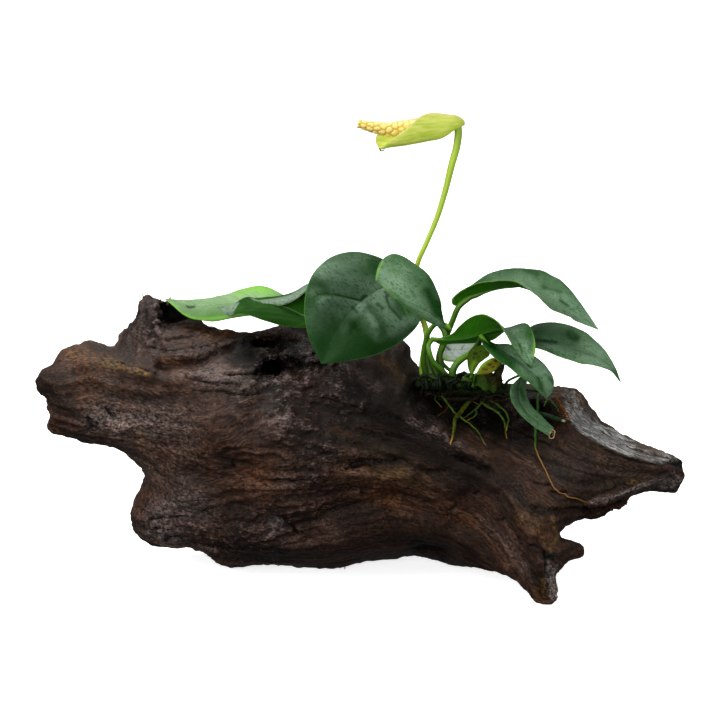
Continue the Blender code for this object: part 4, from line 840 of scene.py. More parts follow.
# Far edges that curl over: share of the way to the tip, then how far the free edge lies from the fold
LEAF_CURLS = {
    "leaf_left_twisted": (
        (0, 0, 0, 0), (0.12, 0, -0.5, 2), (0.2, 0, -1.6, 8), (0.3, 0, -2.2, 9), (0.44, 0, -3.2, 9.5),
        (0.58, 0.3, -3.7, 9.5), (0.66, 0.3, -3.2, 9), (0.72, 0, -1.6, 5), (0.78, 0, 0, 0), (1, 0, 0, 0),
    ),
    "leaf_low_right": (
        (0, 0, 0, 0), (0.1, 0, -0.6, 0.8), (0.2, 0, -1.3, 1.6), (0.38, -0.3, -1.2, 1.5), (0.5, 0, 0, 0),
        (1, 0, 0, 0),
    ),
}
# Where the twisted leaf's tip has turned over and shows its other side
TURNED_TIP = ((-58, 25), (-47.6, 25), (-46.8, 21.8), (-48.4, 19.4), (-49.6, 16), (-58, 16))


class WoodSettings(bpy.types.PropertyGroup):
    mesh_size: FloatProperty(
        name="Mesh size", description="Width of one face of the wood", default=0.001, min=0.0006,
        unit="LENGTH")
    crack_depth: FloatProperty(
        name="Crack depth", description="Depth of the cracks as a share of the modelled one", default=1,
        min=0, max=2, subtype="FACTOR")
    strand_rise: FloatProperty(
        name="Strand rise", description="Height of the wood's coarse strands", default=0.00022,
        unit="LENGTH")
    fibre_rise: FloatProperty(
        name="Fibre rise", description="Height of the fine fibres that stand out of the wood",
        default=0.00022, unit="LENGTH")
    dark: FloatVectorProperty(
        name="Soaked wood", description="Colour of the darkest wood", default=(0.13, 0.075, 0.052),
        subtype="COLOR_GAMMA")
    light: FloatVectorProperty(
        name="Worn wood", description="Colour of the lightest wood", default=(0.345, 0.24, 0.18),
        subtype="COLOR_GAMMA")


class LeafSettings(bpy.types.PropertyGroup):
    thickness: FloatProperty(
        name="Thickness", description="Thickness of a leaf blade", default=0.00045, unit="LENGTH")
    upper: FloatVectorProperty(
        name="Upper side", description="Colour of a grown leaf's upper side",
        default=(0.085, 0.245, 0.06), subtype="COLOR_GAMMA")
    under: FloatVectorProperty(
        name="Underside", description="Colour of a grown leaf's underside", default=(0.24, 0.52, 0.1),
        subtype="COLOR_GAMMA")


class FlowerSettings(bpy.types.PropertyGroup):
    bud_size: FloatProperty(
        name="Bud size", description="Width of one small flower of the spike", default=0.0029,
        unit="LENGTH")
    sheath: FloatVectorProperty(
        name="Sheath", description="Colour of the flower's sheath where it is palest",
        default=(0.851, 0.8667, 0.4627), subtype="COLOR_GAMMA")


class StageSettings(bpy.types.PropertyGroup):
    lamp_power: FloatProperty(
        name="Lamp power", description="Power of the lamp over the plant", default=9, min=0,
        unit="POWER")
    room_light: FloatProperty(
        name="Room light", description="Strength of the light from above all round", default=0.7,
        min=0, max=5, subtype="FACTOR")
    floor_glow: FloatProperty(
        name="Floor glow", description="Light that the floor gives off by itself", default=0.75,
        min=0, max=5, subtype="FACTOR")
    floor: FloatVectorProperty(
        name="Floor", description="Colour of the floor", default=(0.96, 0.96, 0.96),
        subtype="COLOR_GAMMA")


def placed(u, v, w):
    """Metres in the object's frame of points on or off the leaning sheet, for numbers or arrays."""
    u, v, w = np.broadcast_arrays(u, v, w)
    shrink = 1 - w / EYE_DISTANCE
    x = SHEET_MIDDLE[0] + u * shrink
    up = v * shrink
    y = SHEET_MIDDLE[1] + up * math.sin(LEAN) - w * math.cos(LEAN)
    z = SHEET_MIDDLE[2] + up * math.cos(LEAN) + w * math.sin(LEAN)
    return np.stack([x, y, z], axis=-1) * MM


def unplaced(points):
    """Where points in metres lie on the sheet: u, v and w."""
    x, y, z = (np.asarray(points) / MM - SHEET_MIDDLE).T
    w = z * math.sin(LEAN) - y * math.cos(LEAN)
    shrink = 1 - w / EYE_DISTANCE
    return x / shrink, (y * math.sin(LEAN) + z * math.cos(LEAN)) / shrink, w


def place(u, v, w):
    return Vector(placed(u, v, w))


def along(points, shares):
    """Points at the given shares, 0 to 1, of a smooth curve through the listed ones."""
    points = np.array(points, float)
    reach = np.concatenate([[0], np.cumsum(np.linalg.norm(np.diff(points, axis=0), axis=1))])
    slope = np.gradient(points, reach, axis=0)
    at = np.asarray(shares) * reach[-1]
    left = np.clip(np.searchsorted(reach, at, side="right") - 1, 0, len(points) - 2)
    span = (reach[left + 1] - reach[left])[:, None]
    t = (at - reach[left])[:, None] / span
    start = (2 * t**3 - 3 * t**2 + 1) * points[left] + (t**3 - 2 * t**2 + t) * span * slope[left]
    end = (3 * t**2 - 2 * t**3) * points[left + 1] + (t**3 - t**2) * span * slope[left + 1]
    return start + end


def length_of(points):
    return float(np.linalg.norm(np.diff(np.array(points, float), axis=0), axis=1).sum())


def linear(colour):
    """A colour as the shaders want it, from an sRGB hex such as "#4a3a33" or three sRGB shares."""
    if isinstance(colour, str):
        colour = [int(colour[at : at + 2], 16) / 255 for at in (1, 3, 5)]
    shares = [c / 12.92 if c <= 0.04045 else ((c + 0.055) / 1.055) ** 2.4 for c in colour]
    return (*shares, 1)


def add(tree, kind, settings=None, links=None):
    """Adds a shader node; settings name its properties, sockets or ramp stops, links name its sources."""
    node = tree.nodes.new("ShaderNode" + kind)
    for name, value in (settings or {}).items():
        if name == "stops":
            while len(node.color_ramp.elements) < len(value):
                node.color_ramp.elements.new(1)
            for element, (share, colour) in zip(node.color_ramp.elements, value):
                element.position = share
                element.color = linear(colour)
        elif isinstance(name, str) and hasattr(node, name):
            setattr(node, name, value)
        else:
            node.inputs[name].default_value = value
    for name, source in (links or {}).items():
        tree.links.new(source, node.inputs[name])
    return node


def feed(tree, node, values):
    """Links a node's sockets to others, or sets them to numbers or sRGB colours."""
    for name, value in values.items():
        if isinstance(value, bpy.types.NodeSocket):
            tree.links.new(value, node.inputs[name])
        else:
            node.inputs[name].default_value = linear(value) if isinstance(value, (str, tuple)) else value


def attribute(tree, name):
    return add(tree, "Attribute", {"attribute_name": name}).outputs["Fac"]


def millimetres(tree):
    """Where on the object a point lies, in millimetres."""
    place_at = add(tree, "TexCoord").outputs["Object"]
    return add(tree, "VectorMath", {"operation": "SCALE", "Scale": 1000}, {0: place_at}).outputs[0]


def stretched(tree, at, factors, shift=(0, 0, 0)):
    settings = {"operation": "MULTIPLY_ADD", 1: factors, 2: shift}
    return add(tree, "VectorMath", settings, {0: at}).outputs[0]


def clouds(tree, at, scale, detail, roughness=0.5, distortion=0):
    settings = {"Scale": scale, "Detail": detail, "Roughness": roughness, "Distortion": distortion}
    return add(tree, "TexNoise", settings, {"Vector": at}).outputs["Fac"]


def computed(tree, operation, *parts, clamp=False):
    """The result of a Math node over sockets and numbers."""
    node = add(tree, "Math", {"operation": operation, "use_clamp": clamp})
    feed(tree, node, dict(enumerate(parts)))
    return node.outputs[0]


def ranged(tree, value, low, high, to_low=0, to_high=1):
    """A value that runs from low to high, brought to run from to_low to to_high and no further."""
    settings = {"From Min": low, "From Max": high, "To Min": to_low, "To Max": to_high}
    return add(tree, "MapRange", settings, {"Value": value}).outputs[0]


def ramp(tree, value, *stops):
    return add(tree, "ValToRGB", {"stops": stops}, {"Fac": value}).outputs["Color"]


def mixed(tree, under, over, share, blend="MIX"):
    """One colour laid over another."""
    node = add(tree, "Mix", {"data_type": "RGBA", "blend_type": blend})
    feed(tree, node, {"Factor": share, 6: under, 7: over})
    return node.outputs[2]


def bumped(tree, height, strength, distance, under=None):
    links = {"Height": height} if under is None else {"Height": height, "Normal": under}
    return add(tree, "Bump", {"Strength": strength, "Distance": distance}, links).outputs[0]


def let_through(tree, shader, colour, share, normal=None):
    """Gives a thin sheet the share of light that shines through it."""
    links = {"Color": colour} if normal is None else {"Color": colour, "Normal": normal}
    through = add(tree, "BsdfTranslucent", {}, links)
    both = add(tree, "MixShader", {0: share}, {1: shader.outputs[0], 2: through.outputs[0]})
    tree.links.new(both.outputs[0], tree.nodes["Material Output"].inputs["Surface"])


def new_material(name):
    material = bpy.data.materials.new(name)
    material.use_nodes = True
    tree = material.node_tree
    return material, tree, tree.nodes["Principled BSDF"]


def linked(name, data):
    """A new object in the scene."""
    made = bpy.data.objects.new(name, data)
    bpy.context.scene.collection.objects.link(made)
    return made


def finished(name, mesh, materials, nodes):
    """Puts a mesh in the scene as a piece that stands for CAD nodes and rides with them."""
    piece = linked(name, mesh)
    if mesh.materials:
        mesh.materials.clear()
    for material in materials:
        mesh.materials.append(material)
    mesh.polygons.foreach_set("use_smooth", [True] * len(mesh.polygons))
    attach(piece, "root")
    if nodes:
        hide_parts(*nodes)
    return piece


def thicken(piece, thickness):
    """Gives a sheet its thickness; a second material goes to its underside."""
    sheet = piece.modifiers.new("Thickness", "SOLIDIFY")
    sheet.thickness = thickness
    sheet.offset = 0
    sheet.material_offset = 1
    sheet.material_offset_rim = 0


def evaluated_mesh(item):
    graph = bpy.context.evaluated_depsgraph_get()
    return bpy.data.meshes.new_from_object(item.evaluated_get(graph))


def drop(item):
    bpy.data.objects.remove(item, do_unlink=True)


def mesh_of(shape, name):
    """The mesh of a finished bmesh, which it frees."""
    mesh = bpy.data.meshes.new(name)
    shape.to_mesh(mesh)
    shape.free()
    return mesh


def weld(mesh, reach):
    shape = bmesh.new()
    shape.from_mesh(mesh)
    bmesh.ops.remove_doubles(shape, verts=shape.verts, dist=reach)
    shape.to_mesh(mesh)
    shape.free()


def mesh_points(mesh, what="co"):
    values = np.empty(len(mesh.vertices) * 3)
    mesh.vertices.foreach_get(what, values)
    return values.reshape(-1, 3)


def set_points(mesh, points):
    mesh.vertices.foreach_set("co", points.ravel())
    mesh.update()


def write_attribute(mesh, name, values, kind="FLOAT"):
    layer = mesh.attributes.new(name, kind, "POINT")
    key = "vector" if kind == "FLOAT_VECTOR" else "value"
    layer.data.foreach_set(key, np.asarray(values, np.float32).ravel())


def cloudy(points, octaves, seed):
    """Fractal noise about nought at each point, one unit coarse."""
    shift = Vector((seed * 17.3, seed * 5.1, seed * 9.7))
    return np.array([noise.fractal(Vector(p) + shift, 1.0, 2.0, octaves) for p in points])


# The driftwood

def within(corners, u, v):
    """True for each point of the sheet that lies inside the outline."""
    inside = np.zeros(u.shape, bool)
    for (u0, v0), (u1, v1) in zip(corners, (*corners[1:], corners[0])):
        if v0 != v1:
            crosses = ((v0 > v) != (v1 > v)) & (u < (u1 - u0) * (v - v0) / (v1 - v0) + u0)
            inside ^= crosses
    return inside


def sheet_grid(step):
    """u and v of a grid of places over the sheet."""
    return np.meshgrid(np.arange(SHEET_LEFT, SHEET_RIGHT + 0.01, step),
                       np.arange(SHEET_LOW, SHEET_HIGH + 0.01, step))


def swelling(inside):
    """A dome over the outline, nought at its rim: the square of a round limb's half thickness."""
    sweeps, push = 400, 1.93
    dome = np.zeros(inside.shape)
    rows, columns = np.indices(inside.shape)
    for _ in range(sweeps):
        for parity in (0, 1):
            around = np.zeros(inside.shape)
            around[1:-1, 1:-1] = dome[2:, 1:-1] + dome[:-2, 1:-1] + dome[1:-1, 2:] + dome[1:-1, :-2]
            chosen = inside & ((rows + columns) % 2 == parity)
            dome[chosen] += push * ((around[chosen] + 4) / 4 - dome[chosen])
    return dome


def off_line(points, u, v):
    """How places lie to a line of points: their distance, side and share of the way, and its heading."""
    nearest = np.full(u.shape, np.inf)
    side, share = np.ones(u.shape), np.zeros(u.shape)
    heading = np.zeros((2, *u.shape))
    whole = length_of(points)
    passed = 0
    for (u0, v0), (u1, v1) in zip(points, points[1:]):
        du, dv = u1 - u0, v1 - v0
        length = math.hypot(du, dv)
        part = np.clip(((u - u0) * du + (v - v0) * dv) / length**2, 0, 1)
        away_u, away_v = u - u0 - part * du, v - v0 - part * dv
        distance = np.hypot(away_u, away_v)
        closer = distance < nearest
        nearest[closer] = distance[closer]
        side[closer] = np.sign(du * away_v - dv * away_u)[closer]
        share[closer] = (passed + part * length)[closer] / whole
        heading[0][closer] = du / length
        heading[1][closer] = dv / length
        passed += length
    return nearest, side, share, heading


def relief(features, u, v):
    height = np.zeros(u.shape)
    for points, width, rise in features:
        height += rise * np.exp(-((off_line(points, u, v)[0] / width) ** 2))
    return height


def crests(u, v):
    """Sharp crests, falling off straight on both sides and running out at the ends."""
    height = np.zeros(u.shape)
    for points, rise, left, right in CRESTS:
        nearest, side, share, _ = off_line(points, u, v)
        fall = np.clip(1 - nearest / np.where(side > 0, left, right), 0, 1)
        height += rise * fall**1.5 * np.clip(4 * np.minimum(share, 1 - share) + 0.3, 0, 1)
    return height


def cave_depths(u, v):
    """How far the front is set back in the cavities."""
    depth = np.zeros(u.shape)
    for outline, deepest in CAVES:
        inside = within(outline, u, v)
        if inside.any():
            inner = off_line((*outline, outline[0]), u[inside], v[inside])[0]
            fall = deepest * np.clip(inner / min(2.2, deepest / 2.5), 0, 1) ** 0.7
            depth[inside] = np.maximum(depth[inside], fall)
    return depth


def sampled(grid, u, v, step):
    """Values of a grid over the sheet at places between its points."""
    column = np.clip((u - SHEET_LEFT) / step, 0, grid.shape[1] - 1.001)
    row = np.clip((v - SHEET_LOW) / step, 0, grid.shape[0] - 1.001)
    c, r = column.astype(int), row.astype(int)
    fc, fr = column - c, row - r
    low = grid[r, c] * (1 - fc) + grid[r, c + 1] * fc
    high = grid[r + 1, c] * (1 - fc) + grid[r + 1, c + 1] * fc
    return low * (1 - fr) + high * fr


def wood_middle(u, v):
    """The wood's middle depth and how full it is, at places of the sheet."""
    weight, middle, fullness = (np.zeros(u.shape) for _ in range(3))
    for (u0, v0), depth, full in WOOD_MIDDLE:
        pull = np.exp(-((u - u0) ** 2 + (v - v0) ** 2) / (2 * MIDDLE_REACH**2)) + 1e-9
        weight += pull
        middle += pull * depth
        fullness += pull * full
    return middle / weight, fullness / weight


def potential(slope_u, slope_v):
    """The height whose slopes come closest to the given ones, over a grid one step fine."""
    rows, columns = slope_u.shape
    both_u = np.block([[slope_u, -slope_u[:, ::-1]], [slope_u[::-1], -slope_u[::-1, ::-1]]])
    both_v = np.block([[slope_v, slope_v[:, ::-1]], [-slope_v[::-1], -slope_v[::-1, ::-1]]])
    wave_v, wave_u = np.meshgrid(
        np.fft.fftfreq(2 * rows) * 2 * math.pi, np.fft.fftfreq(2 * columns) * 2 * math.pi, indexing="ij")
    bottom = wave_u**2 + wave_v**2
    bottom[0, 0] = 1
    spectrum = (-1j * wave_u * np.fft.fft2(both_u) - 1j * wave_v * np.fft.fft2(both_v)) / bottom
    return np.fft.ifft2(spectrum).real[:rows, :columns]


def grain_flow(step):
    """Which way the grain runs at each place of a grid over the sheet."""
    u, v = sheet_grid(step)
    flow = np.zeros((2, *u.shape))
    for points in GRAIN_LINES:
        nearest, _, _, heading = off_line(points, u, v)
        flow += heading / (nearest**2 + 10) ** 1.5
    return flow / (np.hypot(*flow) + 1e-12)


def drawn_out(speckle, flow, steps):
    """Speckle smeared along the grain, steps cells each way, as fibres; scaled to a spread of one."""
    total = speckle.copy()
    rows, columns = speckle.shape
    for way in (1, -1):
        row, column = np.indices(speckle.shape).astype(float)
        for _ in range(steps):
            r = np.clip(np.rint(row), 0, rows - 1).astype(int)
            c = np.clip(np.rint(column), 0, columns - 1).astype(int)
            column += way * flow[0, r, c]
            row += way * flow[1, r, c]
            r = np.clip(np.rint(row), 0, rows - 1).astype(int)
            c = np.clip(np.rint(column), 0, columns - 1).astype(int)
            total += speckle[r, c]
    return (total - total.mean()) / total.std()


def blurred(speckle, cells):
    rows, columns = (np.fft.fftfreq(count) * 2 * math.pi for count in speckle.shape)
    soft = np.exp(-(rows[:, None] ** 2 + columns[None, :] ** 2) * cells**2 / 2)
    return np.fft.ifft2(np.fft.fft2(speckle) * soft).real


def remesh(item, size):
    even = item.modifiers.new("Remesh", "REMESH")
    even.mode = "VOXEL"
    even.voxel_size = size
    mesh = evaluated_mesh(item)
    item.modifiers.clear()
    item.data = mesh


def wood_body(size):
    """A board sawn to the outline, blown up into a rounded trunk with its limbs, as an even mesh."""
    half_board, board_mesh, step = 4, 0.9 * MM, 1
    curve = bpy.data.curves.new("wood_outline", "CURVE")
    curve.dimensions = "2D"
    curve.fill_mode = "BOTH"
    curve.extrude = half_board * MM
    spline = curve.splines.new("POLY")
    spline.points.add(len(WOOD_OUTLINE) - 1)
    for point, (u, v) in zip(spline.points, WOOD_OUTLINE):
        point.co = (u * MM, v * MM, 0, 1)
    spline.use_cyclic_u = True
    outline = linked("wood_outline", curve)
    board = linked("wood_board", evaluated_mesh(outline))
    drop(outline)
    weld(board.data, WELD)
    remesh(board, board_mesh)
    u, v, level = (mesh_points(board.data) / MM).T
    dome = sampled(swelling(within(WOOD_OUTLINE, *sheet_grid(step))), u, v, step)
    middle, fullness = wood_middle(u, v)
    half = fullness * np.sqrt(dome)
    fade = np.clip(half / RELIEF_FADE, 0, 1)
    spots = np.stack([u, v * 1.4, np.full(u.shape, 7.3)], axis=-1)
    rough = [sum(rise * np.array([noise.noise(Vector(p) * fine) for p in spots * (1, 1, side / fine)])
                 for fine, rise in LUMPS) for side in (1, -1)]
    front = middle + half + fade * (relief(FRONT_RELIEF, u, v) + crests(u, v) + rough[0])
    back = np.minimum(middle - half - fade * (relief(BACK_RELIEF, u, v) + rough[1]), front)
    ragged = [0.5 * np.array([noise.noise(Vector(p) * 0.5) for p in spots + shift]) for shift in (0, 40)]
    front = np.maximum(front - cave_depths(u + ragged[0], v + ragged[1]), np.minimum(back + 2, front))
    share = np.clip((level / half_board + 1) / 2, 0, 1)
    set_points(board.data, placed(u, v, back * (1 - share) + front * share))
    remesh(board, size)
    mesh = board.data
    drop(board)
    return mesh


def opened_up(mesh):
    """Smooths the stairs of the even mesh, and makes it finer round the cracks."""
    shape = bmesh.new()
    shape.from_mesh(mesh)
    for _ in range(2):
        bmesh.ops.smooth_vert(
            shape, verts=shape.verts, factor=0.5, use_axis_x=True, use_axis_y=True, use_axis_z=True)
    shape.verts.index_update()
    u, v, w = unplaced([vert.co for vert in shape.verts])
    near = np.zeros(len(u), bool)
    for points, width, _ in CRACKS:
        near |= off_line(points, u, v)[0] < width + 0.5
    near &= w > wood_middle(u, v)[0]
    edges = [edge for edge in shape.edges if near[edge.verts[0].index] and near[edge.verts[1].index]]
    bmesh.ops.subdivide_edges(shape, edges=edges, cuts=1, use_grid_fill=True)
    shape.to_mesh(mesh)
    shape.free()


def weather(mesh, settings):
    """Cuts the cracks, strands, fibres and pits, and writes where the stains, the painted sheen and shade,
    and the grain lie.
    """
    points = mesh_points(mesh)
    normals = mesh_points(mesh, "normal")
    u, v, w = unplaced(points)
    middle, _ = wood_middle(u, v)
    front = np.clip((w - middle) / 4, 0, 1)
    step = 2
    flow = grain_flow(step)
    down_grain = sampled(potential(flow[0], flow[1]) * step, u, v, step)
    over_grain = sampled(potential(-flow[1], flow[0]) * step, u, v, step)
    grain = np.stack([down_grain, over_grain, w], axis=-1)
    # Fibres wrap round the wood: further back, the sheet's grain is read further across it
    step, wrap = 0.5, 0.6
    flow = grain_flow(step)
    speckle = np.random.RandomState(4).rand(*flow.shape[1:])
    way_u, way_v = (sampled(part, u, v, step) for part in flow)
    at_u, at_v = u - wrap * w * way_v, v + wrap * w * way_u
    # Blur and how many steps the speckle is drawn out, first for the coarse strands
    strands, fibres = (sampled(drawn_out(blurred(speckle, blur), flow, steps), at_u, at_v, step)
                       for blur, steps in ((1.6, 36), (0.9, 14)))
    lump_size, pit_size, lump_rise = 9, 2.4, 0.85
    lumpy = cloudy(points / MM / lump_size, 3, 3)
    pits = cloudy(points / MM / pit_size, 4, 6)
    shades = {name: np.clip(relief(patches, u, v), 0, 1) * front for name, patches in PATCHES.items()}
    # The painted sheen on the top of the right arm ends at its crest
    right_arm_crest = CRESTS[0][0]
    off_crest, side, _, _ = off_line(right_arm_crest, u, v)
    shades["silver"] *= np.clip(side * off_crest / 0.5 + 0.4, 0, 1)
    # Painted shade inside the cavities of the front; where it is full, the relief there is halved
    hollow = np.clip((cave_depths(u, v) - 1) / 4, 0, 1) * np.clip(0.6 - 1.5 * normals[:, 1], 0, 1)
    calm = shades.pop("calm")
    rise = settings.strand_rise * strands * (1 - 0.6 * calm) * (1 - 0.5 * shades["wet"])
    rise += settings.fibre_rise * fibres * (1 - 0.5 * calm)
    rise += lump_rise * MM * lumpy * (1 - 0.8 * calm)
    rise += MM * pits * (0.25 + 0.75 * shades["wet"] + 1.4 * shades["torn"]) * (1 - 0.8 * calm)
    gaps = np.zeros(len(u))
    for line, width, depth in CRACKS:
        nearest, _, share, _ = off_line(line, u + 0.3 * pits, v + 0.3 * fibres)
        taper = np.sqrt(np.clip(5 * np.minimum(share, 1 - share) + 0.1, 0, 1))
        gap = front * taper * np.exp(-((nearest / (width * taper)) ** 2))
        rise -= settings.crack_depth * depth * MM * gap
        gaps = np.maximum(gaps, gap * min(depth, 1))
    points += normals * (rise * (1 - 0.5 * hollow))[:, None]
    points[:, 2] = np.maximum(points[:, 2], 0)
    set_points(mesh, points)
    write_attribute(mesh, "grain", grain, "FLOAT_VECTOR")
    for name, shade in shades.items():
        write_attribute(mesh, name, shade)
    write_attribute(mesh, "hollow", hollow)
    write_attribute(mesh, "crack", gaps)
    write_attribute(mesh, "raised", rise / MM)
    # Painted light and shade by zone, with the wood's own tone
    write_attribute(mesh, "tone", relief(TONE_LIGHT_AND_SHADE, u, v) * front)
    write_attribute(mesh, "strand", strands)
    write_attribute(mesh, "fibre", fibres)


def wood_material(settings):
    """Bogwood, water-worn and soaked: grooves and cracks darkened with painted shade, pale worn crests,
    rust and moss stains, painted wet glints, and painted sheen and shade in places.
    """
    material, tree, shader = new_material("bogwood_water_worn_wet")
    grain = add(tree, "Attribute", {"attribute_name": "grain"}).outputs["Vector"]
    place_mm = millimetres(tree)
    lines = clouds(tree, stretched(tree, grain, (0.16, 1.25, 1.25)), 1, 4, 0.6)
    blots = clouds(tree, place_mm, 0.08, 4, 0.55)
    grit = clouds(tree, place_mm, 0.9, 4, 0.7)
    # Grains and pores half a millimetre wide, a little longer along the fibres
    crumbs = clouds(tree, stretched(tree, grain, (0.62, 1.3, 1.3)), 1, 3, 0.65)
    glints = clouds(tree, stretched(tree, grain, (0.8, 1.3, 1.3), (40, 0, 0)), 1, 4, 0.7)
    fibre, strand, raised, crack = (attribute(tree, key) for key in ("fibre", "strand", "raised", "crack"))
    wet, tone_light_and_shade, hollow, soot = (attribute(tree, key) for key in ("wet", "tone", "hollow", "soot"))
    tone = computed(tree, "MULTIPLY_ADD", strand, 0.05, lines)
    tone = computed(tree, "MULTIPLY_ADD", fibre, 0.06, tone)
    colour = ramp(tree, tone, (0.34, tuple(settings.dark)), (0.5, "#44281b"), (0.7, tuple(settings.light)))
    colour = mixed(tree, colour, "#62401f", ranged(tree, grit, 0.5, 0.64, 0, 0.6))
    blot_shade = ramp(tree, blots, (0.35, "#a8948a"), (0.65, "#ffffff"))
    colour = mixed(tree, colour, blot_shade, 1.0, "MULTIPLY")
    # Stains, painted sheen and painted shade, each broken up by one of the patterns; the painted shade of
    # the hollows isn't
    stains = (
        ("rust", "#6e4322", 0.8, crumbs), ("gold", "#9a7130", 0.8, grit), ("moss", "#34300f", 0.8, grit),
        ("pale", "#857c78", 0.7, grit), ("silver", "#b9b9b4", 1, lines), ("soot", "#0c0906", 0.9, blots),
        ("hollow", "#040302", 1, None),
    )
    for name, layer_colour, strength, pattern in stains:
        share = attribute(tree, name)
        if pattern is not None:
            share = computed(tree, "MULTIPLY", share, ranged(tree, pattern, 0.4, 0.6, 0.05, 1.3))
        share = computed(tree, "MULTIPLY", share, strength, clamp=True)
        colour = mixed(tree, colour, layer_colour, share)
    # Worn crests are paler, and low wood and grooves darker: wear, and painted shade in the grooves
    worn = ranged(tree, raised, -1.4, 1, 0.55, 1.15)
    # Pores are darker where the bump sinks: partly the wood's pores, partly painted shade in the pits
    pores = ranged(tree, crumbs, 0.35, 0.65, 0.1, 1.95)
    soaked = computed(tree, "MULTIPLY_ADD", wet, -0.5, 1)
    # Painted light and shade by zone, with the wood's own tone
    tone_light_and_shade_scale = ranged(tree, tone_light_and_shade, -0.88, 1, 0.05, 1.45)
    # Painted shade inside the cracks
    crack_shade = ranged(tree, crack, 0.1, 0.8, 1, 0.05)
    for factor in (worn, pores, soaked, tone_light_and_shade_scale, crack_shade):
        colour = add(tree, "VectorMath", {"operation": "SCALE"}, {0: colour, "Scale": factor}).outputs[0]
    # Painted glints, as beads of water would catch the light, on the raised parts of the wet places,
    # outside the hollows
    painted_glint = computed(tree, "MULTIPLY_ADD", glints, 2, computed(tree, "MULTIPLY", raised, 0.35))
    painted_glint = ranged(tree, painted_glint, 1.12, 1.5, 0, 0.55)
    speckled = ranged(tree, crumbs, 0.38, 0.6, 0.15, 1.3)
    wetter = computed(tree, "MULTIPLY_ADD", wet, 0.85, 0.15)
    open_share = computed(tree, "MULTIPLY_ADD", hollow, -1, 1, clamp=True)
    for factor in (speckled, wetter, open_share):
        painted_glint = computed(tree, "MULTIPLY", painted_glint, factor)
    colour = mixed(tree, colour, "#7c6a66", painted_glint)
    dull = ranged(tree, grit, 0.35, 0.65, 0.3, 0.6)
    rough = add(tree, "Mix", {"data_type": "FLOAT", 3: 0.2}, {"Factor": wet, 2: dull})
    # Where shade is painted, and where zones are painted darker, the wood keeps little of the sky's
    # reflection: the specular tint is dimmed there
    matt = ranged(tree, computed(tree, "MULTIPLY_ADD", tone_light_and_shade, -0.55, soot), 0.1, 1.1)
    feed(tree, shader, {
        "Base Color": colour, "Roughness": rough.outputs[0], "Specular IOR Level": 0.24,
        "Specular Tint": mixed(tree, "#fff1e8", "#6a5c50", matt),
        "Normal": bumped(tree, crumbs, 0.9, 0.0009, bumped(tree, lines, 0.8, 0.0007))})
    return material


class OBJECT_OT_driftwood(bpy.types.Operator):
    """Builds the driftwood"""

    bl_idname = "anubias.driftwood"
    bl_label = "Driftwood"

    def execute(self, context):
        settings = context.scene.anubias_wood
        mesh = wood_body(settings.mesh_size)
        opened_up(mesh)
        weather(mesh, settings)
        material = wood_material(settings)
        finished("driftwood", mesh, [material], WOOD_NODES)
        twigs = bmesh.new()
        for low, high, thick in SPIKES:
            path = path_through((low, tuple((np.array(low) + high) / 2 + 0.15), high), 0.3)
            twigs.from_mesh(tube_mesh("spike", path, (thick, thick * 0.8, thick * 0.5, 0.1), 2))
        finished("torn_spikes", mesh_of(twigs, "torn_spikes"), [material], [])
        return {"FINISHED"}


# Leaves

